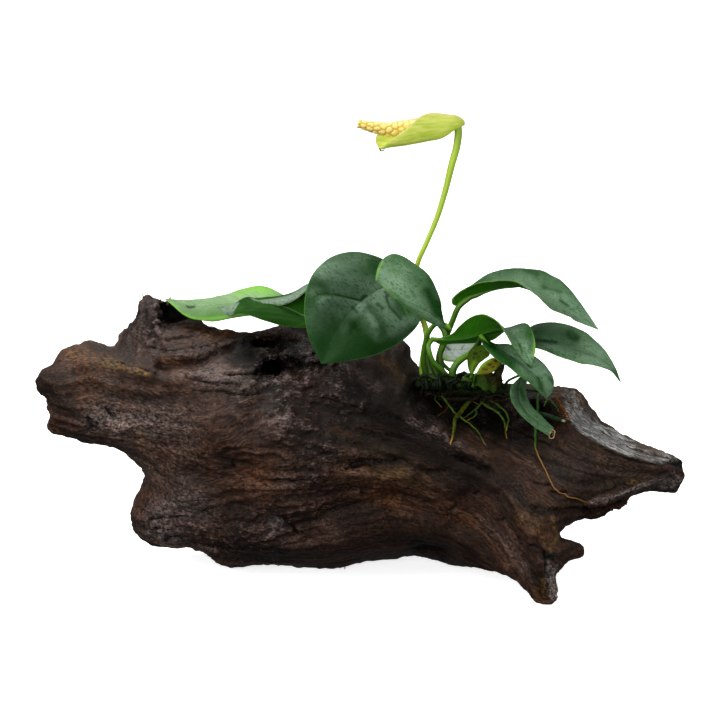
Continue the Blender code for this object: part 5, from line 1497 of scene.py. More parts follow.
def blade_mesh(node, upper):
    """A leaf blade as an open sheet, its upper side on top, with its veins' places written on it."""
    midrib, far, near, bulge = LEAVES[node]
    length = length_of(midrib)
    rounded = node in ("leaf_big_round", "leaf_over_big")
    stations = max(36, round(length * (3 if rounded else 2.2)))
    across = max(25, 2 * round(stations * 0.33) + 1)
    shape = bmesh.new()
    bmesh.ops.create_grid(shape, x_segments=stations - 1, y_segments=across - 1, size=1)
    ruled = np.array([vert.co[:2] for vert in shape.verts])
    share = (1 - np.cos((ruled[:, 0] + 1) / 2 * math.pi)) / 2
    rib, far_edge, near_edge = (placed(*along(rail, share).T) for rail in (midrib, far, near))
    fine = np.linspace(0, 1, 200)
    line, far_line, near_line = (placed(*along(rail, fine).T) for rail in (midrib, far, near))
    normals = np.cross(np.gradient(line, axis=0), far_line - near_line)
    normals /= np.linalg.norm(normals, axis=1)[:, None] + 1e-12
    facing = np.stack([np.interp(share, fine, normals[:, axis]) for axis in range(3)], axis=-1)
    curls = np.array(LEAF_CURLS.get(node, ((0, 0, 0, 0), (1, 0, 0, 0))))
    flat = 0.7 if node in LEAF_CURLS else 1
    side = np.where(ruled[:, 1] > 0, np.minimum(ruled[:, 1] / flat, 1), ruled[:, 1])
    turn = np.clip((ruled[:, 1] - flat) / (1.0001 - flat), 0, 1) * math.pi / 2
    out = np.abs(side)
    edge = np.where((side > 0)[:, None], far_edge, near_edge)
    wide = np.linalg.norm(edge - rib, axis=1) / MM
    vein = share * length - 0.85 * wide * out**1.25
    middle = np.sin(math.pi * share)
    # The bulge is fullest two thirds of the way out, where out**2 * (1 - out) is 4 / 27
    lift = bulge * 27 / 4 * out**2 * (1 - out) * middle
    lift -= upper * (0.08 if rounded else 0.3) * np.exp(-((wide * out / 0.7) ** 2)) * middle
    spots = rib + (edge - rib) * out[:, None]
    u, v, _ = unplaced(spots)
    if rounded:
        # The two halves pass into each other without a crease: a parabola through rib and both edges
        rail_w = [unplaced(rail)[2] for rail in (far_edge, rib, near_edge)]
        reach = [np.linalg.norm(rail - rib, axis=1) / MM + 0.001 for rail in (far_edge, near_edge)]
        slopes = [(rail_w[0] - rail_w[1]) / reach[0], (rail_w[2] - rail_w[1]) / reach[1]]
        bend = (slopes[0] + slopes[1]) / (reach[0] + reach[1])
        tilt = slopes[0] - bend * reach[0]
        away = np.where(side > 0, reach[0], -reach[1]) * out
        spots = placed(u, v, rail_w[1] + tilt * away + bend * away**2)
    lift += upper * relief(LEAF_FOLDS.get(node, ()), u, v)
    wave = [noise.noise(Vector((a * 0.16, s * 2, length))) for a, s in zip(vein, side)]
    grain = [noise.noise(Vector((a * 0.8, s * 0.3, length))) for a, s in zip(vein, wide * side)]
    lift += (0.45 * np.array(wave) * out + 0.1 * np.array(grain)) * middle
    spots += facing * (lift * MM)[:, None]
    over = np.stack([np.interp(share, curls[:, 0], curls[:, part]) for part in (1, 2, 3)], axis=-1)
    u, v, w = unplaced(spots)
    u, v = u + over[:, 0] * (1 - np.cos(turn)), v + over[:, 1] * (1 - np.cos(turn))
    spots = placed(u, v, w + over[:, 2] * np.sin(turn))
    values = {"vein": vein, "wide": wide * side,
              "across": np.where(turn > 0, 1 - 0.6 * np.sin(turn * 2), side)}
    layers = {key: shape.verts.layers.float.new(key) for key in values}
    for index, vert in enumerate(shape.verts):
        vert.co = spots[index]
        for key, layer in layers.items():
            vert[layer] = values[key][index]
    bmesh.ops.remove_doubles(shape, verts=shape.verts, dist=WELD)
    if upper < 0:
        bmesh.ops.reverse_faces(shape, faces=shape.faces)
    if node == "leaf_left_twisted":
        for face in shape.faces:
            u, v, _ = unplaced([face.calc_center_median()])
            face.material_index = int(within(TURNED_TIP, u, v)[0])
    mesh = mesh_of(shape, node)
    u, v, _ = unplaced(mesh_points(mesh))
    for key in ("film", "dark", "lime"):
        write_attribute(mesh, key, np.clip(relief(LEAF_MARKS[node].get(key, ()), u, v), 0, 1))
    return mesh


def leaf_material(name, colours, glow, sheen_amount, ribbed, gloss):
    """A living blade: two greens in flecks, a painted sheen over them, soaked spots partly painted as
    shade, a thin bright rim.
    """
    face, deep, film, spot, bright = colours
    material, tree, shader = new_material(name)
    vein, across, wide = (attribute(tree, key) for key in ("vein", "across", "wide"))
    sheen_marked, dark, lime = (attribute(tree, key) for key in ("film", "dark", "lime"))
    place_mm = millimetres(tree)
    # Flecks lie along the veins on a ribbed face; on others they slant down to the right, as wet streaks do
    if ribbed < 0.5:
        slant = {"rotation_type": "Y_AXIS", "Angle": -0.61}
        turned = add(tree, "VectorRotate", slant, {"Vector": place_mm})
        fleck_at = stretched(tree, turned.outputs[0], (0.62, 1, 1.7))
    else:
        fleck_at = add(tree, "CombineXYZ", {}, {
            "X": computed(tree, "MULTIPLY", vein, 1.3),
            "Y": computed(tree, "MULTIPLY", wide, 0.75 - 0.63 * ribbed)}).outputs[0]
    fleck = clouds(tree, fleck_at, 1, 6, 0.68, 0.5)
    broad = clouds(tree, place_mm, 0.16, 5, 0.66, 0.5)
    dust = clouds(tree, place_mm, 1.4, 3)
    colour = mixed(tree, deep, face, ranged(tree, fleck, 0.3, 0.6))
    # The painted sheen lies thicker where the marks say so, and breaks up into flecks
    sheen_share = ranged(tree, broad, 0.38, 0.66, 0, sheen_amount)
    sheen_share = computed(tree, "MULTIPLY_ADD", sheen_marked, 0.72, sheen_share)
    broken = ranged(tree, fleck, 0.38, 0.5, 0.3, 1)
    colour = mixed(tree, colour, film, computed(tree, "MULTIPLY", sheen_share, broken, clamp=True))
    rim = ranged(tree, computed(tree, "ABSOLUTE", across), 0.975, 0.992, 0, 0.6)
    rib = ranged(tree, computed(tree, "ABSOLUTE", wide), 0.1, 0.45, 0.3, 0)
    speck = ranged(tree, dust, 0.69, 0.74, 0, 0.75)
    for share, hue in ((dark, spot), (lime, bright), (rim, bright), (rib, spot), (speck, "#161d0b")):
        colour = mixed(tree, colour, hue, share)
    rough = ranged(tree, fleck, 0.35, 0.65, gloss + 0.14, gloss - 0.06)
    normal = bumped(tree, fleck, 0.8, 0.0005)
    feed(tree, shader, {"Base Color": colour, "Roughness": rough, "IOR": 1.42,
                        "Specular IOR Level": 0.12, "Normal": normal})
    let_through(tree, shader, colour, glow, normal)
    return material


class OBJECT_OT_leaves(bpy.types.Operator):
    """Builds the leaf blades"""

    bl_idname = "anubias.leaves"
    bl_label = "Leaves"

    def execute(self, context):
        settings = context.scene.anubias_leaves
        upper, under = tuple(settings.upper), tuple(settings.under)
        # Name; face, deep, painted sheen, spot and bright; then glow, sheen amount, ribs and roughness
        grown = (
            leaf_material("leaf_cuticle_waxy_upper",
                          (upper, "#0e3006", "#637d64", "#0a3003", "#4a8a30"), 0.08, 0.14, 0, 0.22),
            leaf_material("leaf_cuticle_matt_under",
                          (under, "#398010", "#4f7f34", "#1f5008", "#79a832"), 0.35, 0.06, 0.85, 0.5),
        )
        shaded = (
            # Darker copies for the twisted leaf: painted shade, with a grey painted sheen on its upper side
            leaf_material("leaf_cuticle_shaded_sheen_upper",
                          ("#36523a", "#203d1e", "#7c9079", "#1c3a14", "#6f9f3c"), 0.1, 0.3, 0.3, 0.34),
            leaf_material("leaf_cuticle_shaded_under",
                          ("#1a4602", "#143a02", "#2c5a12", "#0d2802", "#4f7c26"), 0.22, 0.02, 0.95, 0.62),
        )
        young = (
            leaf_material("young_leaf_thin_upper",
                          ("#589433", "#528c2c", "#a3ba95", "#37502a", "#7fbf3a"), 0.25, 0.2, 0.9, 0.4),
            leaf_material("young_leaf_thin_under",
                          ("#5c9636", "#4f8a2a", "#9dbb86", "#37502a", "#7fbf3a"), 0.25, 0.15, 0.9, 0.5),
        )
        # These have a grown leaf's underside; the pale one carries the most painted sheen
        painted_sheen_look, pale, olive, yellow, withered = ((leaf_material(*look), grown[1]) for look in (
            ("leaf_cuticle_painted_sheen_upper",
             ("#275619", "#18450e", "#6e8b6d", "#0f3c09", "#6f9f3c"), 0.12, 0.32, 0.2, 0.26),
            ("leaf_cuticle_streaked_upper",
             ("#55724c", "#3f5c34", "#a6b2a8", "#1f3a14", "#7fae34"), 0.12, 0.6, 0.85, 0.32),
            ("old_leaf_olive_upper",
             ("#46600f", "#354c0a", "#56702a", "#0d1204", "#6f9422"), 0.24, 0.1, 0.6, 0.6),
            ("dying_leaf_yellow_upper",
             ("#66660a", "#4a5608", "#86791a", "#3c1d08", "#7fae28"), 0.25, 0.2, 0.6, 0.5),
            ("old_leaf_withered_dark",
             ("#2a480a", "#0f1a03", "#4f6a2c", "#2c1a0a", "#5a8a1c"), 0.1, 0.35, 0.4, 0.5),
        ))
        kinds = {
            "leaf_far_left": (young, "leaf_pale"), "leaf_pale_back": (pale, "leaf_pale"),
            "leaf_small_olive": (olive, "leaf_green"), "leaf_yellow_spotted": (yellow, "leaf_yellow"),
            "leaf_left_twisted": ((*shaded, shaded[0]), "leaf_green"),
            "leaf_big_round": (grown, "leaf_green"), "leaf_crumpled_dark": (withered, "leaf_green"),
        }
        for node, upper_side in UPPER_SIDES.items():
            materials, slot = kinds.get(node, (painted_sheen_look, "leaf_green"))
            blade = finished("blade_" + node[5:], blade_mesh(node, upper_side), materials, [node])
            thicken(blade, settings.thickness)
        ring, core = placed(*along(CUT_RIM, np.linspace(0, 1, 40)).T), placed(*np.array(CUT_FACE).T)
        cut = root_material("leaf_cut_edge_dried", "#b9a47c", "#6a4a2c", "#7a5c3a", 0.82)
        inside = root_material("leaf_cut_face_rotten", "#2a1c14", "#2a1c14", "#140d0a", 2)
        for name, path, radii, material in (
                ("leaf_cut_rim", ring, (0.15, 0.24, 0.2, 0.18, 0.24, 0.15), cut),
                ("leaf_cut_face", core, (0.5, 0.75, 0.5), inside)):
            rim = tube_mesh(name, path, radii, 3)
            write_attribute(rim, "share", shares_on(rim, path))
            finished(name, rim, [material], [])
        return {"FINISHED"}


# Stems, stalk and roots

def tube_mesh(name, path, radii, rings=5):
    """A round rod along path, points in metres, its radii in millimetres spread evenly along it."""
    curve = bpy.data.curves.new(name, "CURVE")
    curve.dimensions = "3D"
    curve.bevel_depth = MM
    curve.bevel_resolution = rings
    curve.use_fill_caps = True
    spline = curve.splines.new("POLY")
    spline.points.add(len(path) - 1)
    shares = np.linspace(0, 1, len(path))
    widths = np.interp(shares, np.linspace(0, 1, len(radii)), radii)
    for point, spot, width in zip(spline.points, path, widths):
        point.co = (*spot, 1)
        point.radius = width
    rod = linked(name, curve)
    mesh = evaluated_mesh(rod)
    drop(rod)
    weld(mesh, WELD / 2)
    return mesh


def path_through(points, step):
    """Even spots in metres along a smooth line through points of the sheet."""
    count = max(4, round(length_of(points) / step) + 1)
    return placed(*along(points, np.linspace(0, 1, count)).T)


def shares_on(mesh, path):
    """For each vertex of a tube, the share of its path at which it lies."""
    points = mesh_points(mesh)
    best = np.full(len(points), np.inf)
    share = np.zeros(len(points))
    for at, spot in zip(np.linspace(0, 1, len(path)), path):
        distance = np.linalg.norm(points - spot, axis=1)
        closer = distance < best
        best[closer] = distance[closer]
        share[closer] = at
    return share


def stem_material(name, top, low, base):
    """A fleshy leaf stalk: smooth, streaked along its length, lighter on top where the light falls."""
    material, tree, shader = new_material(name)
    upward = add(tree, "SeparateXYZ", {}, {0: add(tree, "NewGeometry").outputs["Normal"]}).outputs["Z"]
    mottle = clouds(tree, millimetres(tree), 0.7, 4)
    lit = computed(tree, "ADD", upward, computed(tree, "MULTIPLY_ADD", mottle, 0.6, -0.3))
    colour = mixed(tree, low, top, ranged(tree, lit, -0.6, 0.8))
    # Darker towards the rhizome: the stalk's own darker foot, and painted shade among the crowded stems
    colour = mixed(tree, colour, base, ranged(tree, attribute(tree, "share"), 0, 0.3, 0.85, 0))
    colour = mixed(tree, colour, "#2a5c10", attribute(tree, "rib"))
    feed(tree, shader, {"Base Color": colour, "Roughness": 0.34, "Specular IOR Level": 0.25,
                        "Normal": bumped(tree, mottle, 0.4, 0.0002)})
    return material


def stem_piece(node, path, radii, material, rings=6, joint=2, strength=1):
    """A rod that stands for a node; past the joint, a share of its way, it takes the rib's dark green."""
    mesh = tube_mesh(node + "_grown", path, radii, rings)
    share = shares_on(mesh, path)
    write_attribute(mesh, "share", share)
    write_attribute(mesh, "rib", strength * np.clip((share - joint) / 0.05, 0, 1))
    return finished(node + "_grown", mesh, [material], [node])


# Two stems cross: each of these ends in another leaf than the one it is named for
CARRIED = {"stem_low_right": "leaf_small_olive", "stem_small_olive": "leaf_low_right"}


class OBJECT_OT_stems(bpy.types.Operator):
    """Builds the leaf stems and the flower stalk"""

    bl_idname = "anubias.stems"
    bl_label = "Stems"

    def execute(self, context):
        green = stem_material("leaf_stalk_fleshy_grown", "#5f9220", "#193d07", "#0e1a07")
        for node, (low, high, points) in STEMS.items():
            blade = CARRIED.get(node, "leaf" + node[4:])
            midrib, far_rail, near_rail, _ = LEAVES[blade]
            # The stem runs on under the blade as its midrib
            shares = np.linspace(0.1 if node == "stem_tall_arching" else 0, 0.7, 14)
            start = along(midrib, shares[:1])[0]
            stalk = path_through([*points[:-1], tuple(start)], 1)
            rib, far, near = (placed(*along(rail, shares).T) for rail in (midrib, far_rail, near_rail))
            facing = np.cross(np.gradient(rib, axis=0), far - near)
            facing /= np.linalg.norm(facing, axis=1)[:, None] + 1e-12
            u, v, _ = unplaced(rib)
            thick = np.interp(shares, [0, 0.12, 0.7], [high * 0.7, high * 0.36, 0.1])
            sunk = np.maximum(thick - 0.12, 0) * np.minimum(shares / 0.12, 1)
            sunk += 0.3 * np.sin(math.pi * shares)
            sunk -= relief(LEAF_FOLDS.get(blade, ()), u, v)
            rib = rib - facing * (UPPER_SIDES[blade] * sunk * MM)[:, None]
            path = np.concatenate([stalk, rib[1:]])
            joint = len(stalk) / len(path)
            radii = np.interp(np.linspace(0, 1, 60),
                              [0, 0.06, 0.2, joint * 0.9, joint, joint + (1 - joint) * 0.17, 1],
                              [low * 1.4, low * 1.2, low, high, high * 1.1, high * 0.36, 0.1])
            stem_piece(node, path, radii, green, 6, joint)
        stalk = stem_material("flower_stalk_smooth", "#acc23a", "#97b930", "#7a9e2a")
        path = path_through([*FLOWER_STALK[:-1], (38.1, 88, 0), (37.9, 90.3, 0), (36.6, 92, 0)], 1.2)
        radii = np.interp(np.linspace(0, 1, 60), np.linspace(0, 1, len(STALK_RADII)), STALK_RADII)
        stem_piece("flower_stalk", path, radii, stalk, joint=0.88, strength=0.3)
        return {"FINISHED"}


def skin_of(name):
    return BVHTree.FromObject(bpy.data.objects[name], bpy.context.evaluated_depsgraph_get())


def draped(points, radius, wood):
    """Spots a radius out of the wood under points of the sheet."""
    spots, reach = [], 120
    for u, v in points:
        eye, far = place(u, v, reach), place(u, v, -reach)
        spot, facing, _, _ = wood.ray_cast(eye, far - eye)
        if spot is not None:
            spots.append(np.array(spot + facing * radius * MM))
    return spots


def root_path(points, radius, wood, start=None, wobble=0.0, seed=0):
    """A root's line from its start in the rhizome over the wood."""
    chance = random.Random(seed)
    spots = ([np.array(place(*start))] if start else []) + draped(points, radius * 1.1, wood)
    count = max(6, round(length_of(spots) / (0.8 * MM)) + 1)
    path = along(spots, np.linspace(0, 1, count))
    for index in range(1, len(path)):
        near, facing, _, _ = wood.find_nearest(Vector(path[index]))
        away = Vector(path[index]) - near
        lift = radius * 0.8 * MM
        if away.dot(facing) < lift:
            path[index] = near + facing * lift
    shake = np.array([[noise.noise(Vector((i * 0.35, seed * 3.1, axis * 7.7))) for axis in range(3)]
                      for i in range(len(path))])
    return path + shake * wobble * MM * min(1, chance.random() + 0.5)


def root_material(name, top, tip, dark, tip_at=0.9):
    """A living root: fibrous, mottled, golden towards its growing tip."""
    material, tree, shader = new_material(name)
    mottle = clouds(tree, millimetres(tree), 0.9, 5, 0.65)
    colour = mixed(tree, dark, top, ranged(tree, mottle, 0.35, 0.65))
    tip_share = ranged(tree, attribute(tree, "share"), tip_at - 0.05, tip_at + 0.03)
    colour = mixed(tree, colour, tip, tip_share)
    feed(tree, shader, {"Base Color": colour, "Roughness": 0.5, "Specular IOR Level": 0.12,
                        "Normal": bumped(tree, mottle, 0.7, 0.0003)})
    return material


class OBJECT_OT_roots(bpy.types.Operator):
    """Lays the roots over the wood"""

    bl_idname = "anubias.roots"
    bl_label = "Roots"

    def execute(self, context):
        wood = skin_of("driftwood")
        green = root_material("root_fibrous_green", "#45641c", "#8a6a28", "#1c3008", 0.94)
        olive = root_material("root_fibrous_olive", "#5c6416", "#a0702c", "#1c2a08", 0.95)
        brown = root_material("root_fibrous_brown", "#7a4c1a", "#8a5c24", "#3c240e", 0.9)
        long_tip = root_material("root_green_with_long_tip", "#34601a", "#8a6430", "#183a08", 0.6)
        stick = root_material("root_thick_dark", "#1c3412", "#8f8f82", "#0c1808", 0.93)
        looks = {"root_yellow_green": olive, "root_brown": brown, "root_edge": brown, "root_bud": olive,
                 "root_right": long_tip, "rhizome_tip": stick}
        for index, (node, (radius, start, points)) in enumerate(ROOTS.items()):
            path = root_path(points, radius, wood, start, 0.35, index)
            taper = (1.15, 1, 1, 0.85, 0.6, 0.25)
            if node == "root_right":
                taper = (1, 1, 1.1, 1.2, 1.2, 1.1, 0.6, 0.55, 0.5, 0.45, 0.3)
            radii = [radius * share for share in taper]
            stem_piece(node, path, radii, looks.get(node, green), 3)
        side = root_material("root_fibrous_side", "#3d5a1a", "#7a5a22", "#1a2e08", 0.88)
        fine = bmesh.new()
        for index, (radius, points) in enumerate(SIDE_ROOTS):
            path = root_path(points, radius, wood, None, 0.3, index + 40)
            radii = (radius * 0.6, radius, radius, radius * 0.9, radius * 0.4)
            rod = tube_mesh("side_root", path, radii, 3)
            write_attribute(rod, "share", shares_on(rod, path))
            fine.from_mesh(rod)
        finished("side_roots", mesh_of(fine, "side_roots"), [side], [])
        for index, (node, (radius, points)) in enumerate(LOOSE.items()):
            path = root_path(points, radius, wood, None, 0.2, index + 20)
            radii = (radius * 0.7, radius, radius, radius * 0.9, radius * 0.4)
            stem_piece(node, path, radii, looks.get(node, green), 3)
        return {"FINISHED"}


class OBJECT_OT_rhizome(bpy.types.Operator):
    """Builds the creeping rhizome with its fibres"""

    bl_idname = "anubias.rhizome"
    bl_label = "Rhizome"

    def execute(self, context):
        wood = skin_of("driftwood")
        skin = root_material("rhizome_scarred_green", "#1d2a0c", "#1d2a0c", "#0c1106")
        path = path_through(RHIZOME, 0.5)
        rings = [1 + 0.12 * math.sin(i * 1.1) + 0.1 * noise.noise(Vector((i * 0.2, 3, 1)))
                 for i in range(len(path))]
        given = np.linspace(0, 1, len(RHIZOME_RADII))
        radii = np.interp(np.linspace(0, 1, len(path)), given, RHIZOME_RADII)
        mesh = tube_mesh("rhizome_grown", path, radii * rings, 7)
        points, normals = mesh_points(mesh), mesh_points(mesh, "normal")
        set_points(mesh, points + normals * cloudy(points / MM / 1.6, 4, 5)[:, None] * 0.5 * MM)
        write_attribute(mesh, "share", shares_on(mesh, path) * 0.5)
        finished("rhizome_grown", mesh, [skin], ["rhizome"])
        # Old root hairs hang over the wood, and stubs of old stems crowd the top of the rhizome; the stubs
        # and the tangle under them are near black, partly painted shade under the leaves
        chance = random.Random(7)
        hair = root_material("root_hair_dead_brown", "#4a3a1c", "#4a3a1c", "#20190c")
        stub = root_material("stem_stub_decayed_and_shaded", "#121d07", "#2c2210", "#050702", 0.8)
        scrap = root_material("leaf_scrap_old_green", "#3c5c18", "#3c5c18", "#131f08", 2)
        dark = root_material("root_mat_tangle_and_shade", "#1c1408", "#2a1c10", "#0d0d05", 0.5)
        threads, stubs, scraps, mat = bmesh.new(), bmesh.new(), bmesh.new(), bmesh.new()
        hair_count, stub_count, mat_count = 110, 150, 130
        for _ in range(hair_count):
            spot = path[int(chance.random() * (len(path) - 1))]
            u, v, w = (float(part[0]) for part in unplaced([spot]))
            reach = chance.uniform(2, 7)
            turn = chance.uniform(-0.7, 0.7)
            line = [(u + math.sin(turn) * reach * share + chance.uniform(-0.5, 0.5), v - reach * share)
                    for share in (0.3, 0.6, 1)]
            strand = root_path(line, 0.12, wood, (u, v, w + 1.5), 0.8, chance.randrange(1000))
            thick = chance.uniform(0.12, 0.28)
            threads.from_mesh(tube_mesh("hair", strand, (thick, thick * 0.8, 0.06), 0))
        for index in range(stub_count):
            u = chance.uniform(24.5, 53)
            crown = noise.noise(Vector((u * 0.35, 2, 5))) * 2.4
            top = chance.uniform(-8, -5) + crown if u < 44 else chance.uniform(-9.5, -7)
            lean, depth = chance.uniform(-6, 6), chance.uniform(0, 11)
            rise = [(u, -11.5, depth), (u + lean * 0.2, (top - 11.5) / 2, depth + chance.uniform(0, 2)),
                    (u + lean * 0.7, top, depth), (u + lean, top - chance.uniform(-0.6, 2), depth + 0.5)]
            thick = chance.uniform(0.3, 0.85)
            widths = (thick, thick * 1.1, thick * 0.8, 0.15)
            if index % 3 == 0:
                rise = [(u - 3, top - 2.5, depth + 1),
                        (u - 1, top - 1 + chance.uniform(-1, 1), depth + 2),
                        (u + 1, top - 1.4 + chance.uniform(-1, 1), depth + 2),
                        (u + 3.2, top - 2, depth + 1)]
            if index % 6 == 0:
                widths = (0.1, thick * 1.5, thick, 0.1)
            kept = scraps if index % 6 == 0 else stubs
            kept.from_mesh(tube_mesh("stub", path_through(rise, 0.8), widths, 1))
        for _ in range(mat_count):
            u, depth = chance.uniform(24, 56), chance.uniform(-13, 5)
            v = chance.uniform(-15.5, -12) - 0.06 * max(depth + 4, 0)
            lean = chance.uniform(-1.5, 1.5)
            rise = [(u - 4, v - lean, depth), (u - 1.5, v + chance.uniform(-0.8, 0.8), depth + lean),
                    (u + 1.5, v + chance.uniform(-0.8, 0.8), depth - lean), (u + 4, v + lean, depth + 1)]
            thick = chance.uniform(0.4, 0.95)
            mat.from_mesh(tube_mesh("mat", path_through(rise, 0.8), (0.2, thick, thick * 0.8, 0.2), 1))
        for name, shape, material in (
                ("root_hairs", threads, hair), ("stem_stubs", stubs, stub), ("root_mat", mat, dark),
                ("leaf_scraps", scraps, scrap)):
            mesh = mesh_of(shape, name)
            write_attribute(mesh, "share", np.zeros(len(mesh.vertices)))
            finished(name, mesh, [material], [])
        return {"FINISHED"}


# The flower

class OBJECT_OT_flower(bpy.types.Operator):
    """Builds the flower's sheath and spike"""

    bl_idname = "anubias.flower"
    bl_label = "Flower"

    def execute(self, context):
        settings = context.scene.anubias_flower
        self.sheath(settings)
        self.spike(settings)
        return {"FINISHED"}

    def sheath(self, settings):
        stations, across = 70, 45
        shares = (1 - np.cos(np.linspace(0, math.pi, stations))) / 2
        keel, far, near = (along(rail, shares) for rail in SPATHE)
        shape = bmesh.new()
        bmesh.ops.create_grid(shape, x_segments=stations - 1, y_segments=across - 1, size=1)
        rim_layer = shape.verts.layers.float.new("across")
        for vert in shape.verts:
            station = round((vert.co.x + 1) / 2 * (stations - 1))
            side = vert.co.y
            rim = far[station] if side > 0 else near[station]
            turn = abs(side) * math.pi / 2
            rise = keel[station, :2] + (rim - keel[station])[:2] * (1 - math.cos(turn))
            out = keel[station, 2] + (rim - keel[station])[2] * math.sin(turn)
            vert.co = place(rise[0], rise[1], out)
            vert[rim_layer] = side
        bmesh.ops.remove_doubles(shape, verts=shape.verts, dist=WELD)
        mesh = mesh_of(shape, "sheath")
        material, tree, shader = new_material("flower_sheath_fleshy_thin")
        streaks = clouds(tree, stretched(tree, millimetres(tree), (0.05, 0.7, 0.7)), 1, 4)
        colour = ramp(tree, streaks, (0.35, "#bacc4c"), (0.65, tuple(settings.sheath)))
        out = computed(tree, "ABSOLUTE", attribute(tree, "across"))
        colour = mixed(tree, colour, "#d6c68c", ranged(tree, out, 0.94, 0.97, 0, 0.9))
        # Painted light: a faint glow of its own colour stands for light from the bright room behind shining
        # through the thin flesh, which also lets the lamps' light through
        feed(tree, shader, {"Base Color": colour, "Roughness": 0.45, "Emission Color": colour,
                            "Emission Strength": 0.22})
        let_through(tree, shader, colour, 0.3)
        hook = tube_mesh("tip_hook", placed(*np.array(SHEATH_TIP).T), (0.35, 0.3, 0.25, 0.08), 3)
        write_attribute(hook, "share", np.zeros(len(hook.vertices)))
        dried = root_material("sheath_tip_dark", "#3c5a1e", "#3c5a1e", "#1e3210")
        finished("sheath_tip", hook, [dried], [])
        sheath = finished("spathe_grown", mesh, [material], ["spathe"])
        thicken(sheath, 0.5 * MM)

    def spike(self, settings):
        path = path_through(SPADIX, 0.28)
        mesh = tube_mesh("spadix_grown", path, SPADIX_RADII, 22)
        points, normals = mesh_points(mesh), mesh_points(mesh, "normal")
        share = shares_on(mesh, path)
        length = length_of(path)
        axis = (path[-1] - path[0]) / np.linalg.norm(path[-1] - path[0])
        side = np.cross(axis, (0, 0, 1.0))
        side /= np.linalg.norm(side)
        top = np.cross(side, axis)
        centres = path[np.clip((share * (len(path) - 1)).round().astype(int), 0, len(path) - 1)]
        away = points - centres
        angle = np.arctan2(away @ side, away @ top)
        size = settings.bud_size
        rows = round(length / (size * 0.85))
        around, mean_radius, bud_rise, sunk = 6, 2.6 * MM, 0.75 * MM, 0.5 * MM
        best, second = np.full(len(points), np.inf), np.full(len(points), np.inf)
        chance = random.Random(3)
        for row in range(rows + 1):
            for bud in range(around):
                at = row / rows * length + chance.uniform(-0.22, 0.22) * size
                turn = (bud + 0.5 * (row % 2) + chance.uniform(-0.18, 0.18)) * 2 * math.pi / around
                swing = (angle - turn + math.pi) % (2 * math.pi) - math.pi
                near = np.hypot(share * length - at, swing * mean_radius)
                second = np.minimum(second, np.maximum(best, near))
                best = np.minimum(best, near)
        dome = np.clip((second - best) / (0.45 * size), 0, 1)
        set_points(mesh, points + normals * (bud_rise * np.sqrt(dome) - sunk)[:, None])
        write_attribute(mesh, "dome", dome)
        material, tree, shader = new_material("flower_spike_waxy_buds")
        colour = ramp(tree, attribute(tree, "dome"), (0, "#cc9f28"), (0.3, "#e0be4a"), (0.8, "#e9d27e"))
        feed(tree, shader, {"Base Color": colour, "Roughness": 0.5, "Subsurface Weight": 0.15})
        shader.inputs["Subsurface Radius"].default_value = (0.001, 0.0008, 0.0004)
        finished("spadix_grown", mesh, [material], ["spadix"])


# The stage

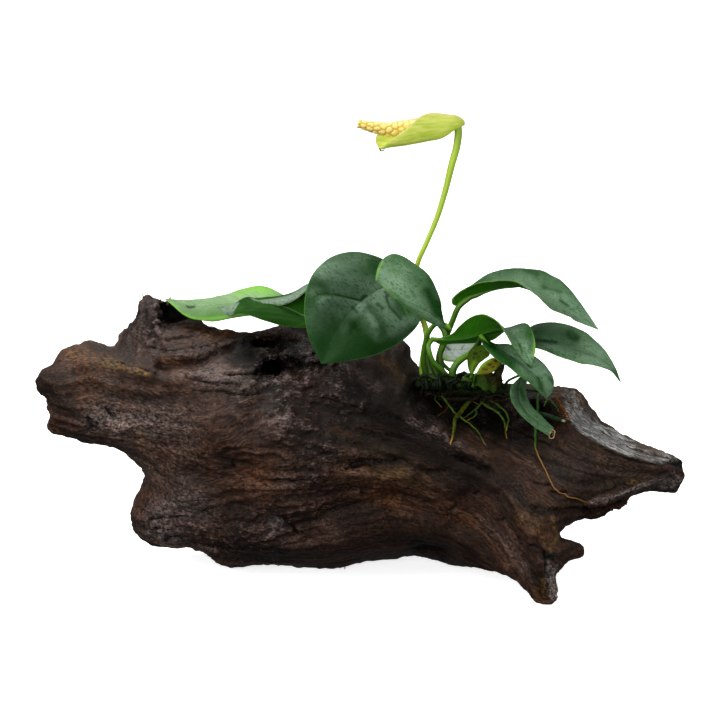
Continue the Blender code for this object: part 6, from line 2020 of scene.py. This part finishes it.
class OBJECT_OT_stage(bpy.types.Operator):
    """Sets the floor, the lamps and the camera"""

    bl_idname = "anubias.stage"
    bl_label = "Stage"

    def execute(self, context):
        settings = context.scene.anubias_stage
        scene = context.scene
        camera = linked("camera", bpy.data.cameras.new("camera"))
        scene.camera = camera
        camera.data.sensor_width = 36
        camera.data.lens = LENS
        camera.data.clip_start = 0.05
        camera.data.clip_end = 20
        aim = Vector((0, math.cos(LEAN), -math.sin(LEAN)))
        camera.location = Vector(SHEET_MIDDLE) * MM - aim * EYE_DISTANCE * MM
        camera.rotation_euler = aim.to_track_quat("-Z", "Y").to_euler()
        shape = bmesh.new()
        bmesh.ops.create_grid(shape, x_segments=2, y_segments=2, size=4)
        floor = linked("floor", mesh_of(shape, "floor"))
        material, tree, shader = new_material("floor_light_table_matt")
        feed(tree, shader, {
            "Base Color": tuple(settings.floor), "Roughness": 1, "Specular IOR Level": 0,
            "Emission Color": "#ffffff", "Emission Strength": settings.floor_glow})
        floor.data.materials.append(material)
        floor.visible_diffuse = False
        floor.visible_glossy = False
        power = settings.lamp_power
        lamps = (
            ("lamp_over", (-0.15, 0.35, 0.95), (0.9, 0.6), power),
            ("lamp_left", (-0.85, -0.45, 0.65), (0.45, 0.6), power * 0.75),
            ("lamp_right", (0.95, -0.35, 0.5), (0.35, 0.6), power * 0.4),
            ("lamp_front", (-0.25, -1.3, 0.45), (0.6, 0.5), power),
        )
        for name, spot, size, watts in lamps:
            light = bpy.data.lights.new(name, "AREA")
            light.shape = "RECTANGLE"
            light.size, light.size_y = size
            light.energy = watts
            lamp = linked(name, light)
            lamp.location = spot
            away = Vector(spot) - Vector((0, 0, 0.08))
            lamp.rotation_euler = away.to_track_quat("Z", "Y").to_euler()
        world = bpy.data.worlds.new("studio_room")
        world.use_nodes = True
        tree = world.node_tree
        up = add(tree, "SeparateXYZ", {}, {0: add(tree, "TexCoord").outputs["Generated"]}).outputs["Z"]
        sky = ranged(tree, up, 0.1, 0.9, 0.1, settings.room_light)
        tree.links.new(sky, tree.nodes["Background"].inputs["Strength"])
        tree.nodes["Background"].inputs["Color"].default_value = (0.93, 0.97, 1, 1)
        scene.world = world
        scene.view_settings.view_transform = "Standard"
        return {"FINISHED"}


class VIEW3D_PT_anubias(bpy.types.Panel):
    bl_label = "Anubias on driftwood"
    bl_space_type = "VIEW_3D"
    bl_region_type = "UI"
    bl_category = "Anubias"

    def draw(self, context):
        for name, group in SETTINGS.items():
            box = self.layout.box()
            settings = getattr(context.scene, name)
            for key in group.__annotations__:
                box.prop(settings, key)
        for operator in OPERATORS:
            self.layout.operator(operator.bl_idname)


OPERATORS = (
    OBJECT_OT_stage, OBJECT_OT_driftwood, OBJECT_OT_leaves, OBJECT_OT_stems, OBJECT_OT_rhizome,
    OBJECT_OT_roots, OBJECT_OT_flower,
)
SETTINGS = {
    "anubias_wood": WoodSettings, "anubias_leaves": LeafSettings, "anubias_flower": FlowerSettings,
    "anubias_stage": StageSettings,
}


def register():
    for name, group in SETTINGS.items():
        bpy.utils.register_class(group)
        setattr(bpy.types.Scene, name, PointerProperty(type=group))
    for made in (*OPERATORS, VIEW3D_PT_anubias):
        bpy.utils.register_class(made)


def unregister():
    for made in (*OPERATORS, VIEW3D_PT_anubias):
        bpy.utils.unregister_class(made)
    for name, group in SETTINGS.items():
        delattr(bpy.types.Scene, name)
        bpy.utils.unregister_class(group)


def main():
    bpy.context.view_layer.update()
    register()
    bpy.ops.anubias.stage()
    bpy.ops.anubias.driftwood()
    bpy.ops.anubias.leaves()
    bpy.ops.anubias.stems()
    bpy.ops.anubias.rhizome()
    bpy.ops.anubias.roots()
    bpy.ops.anubias.flower()


if __name__ == "__main__":
    main()
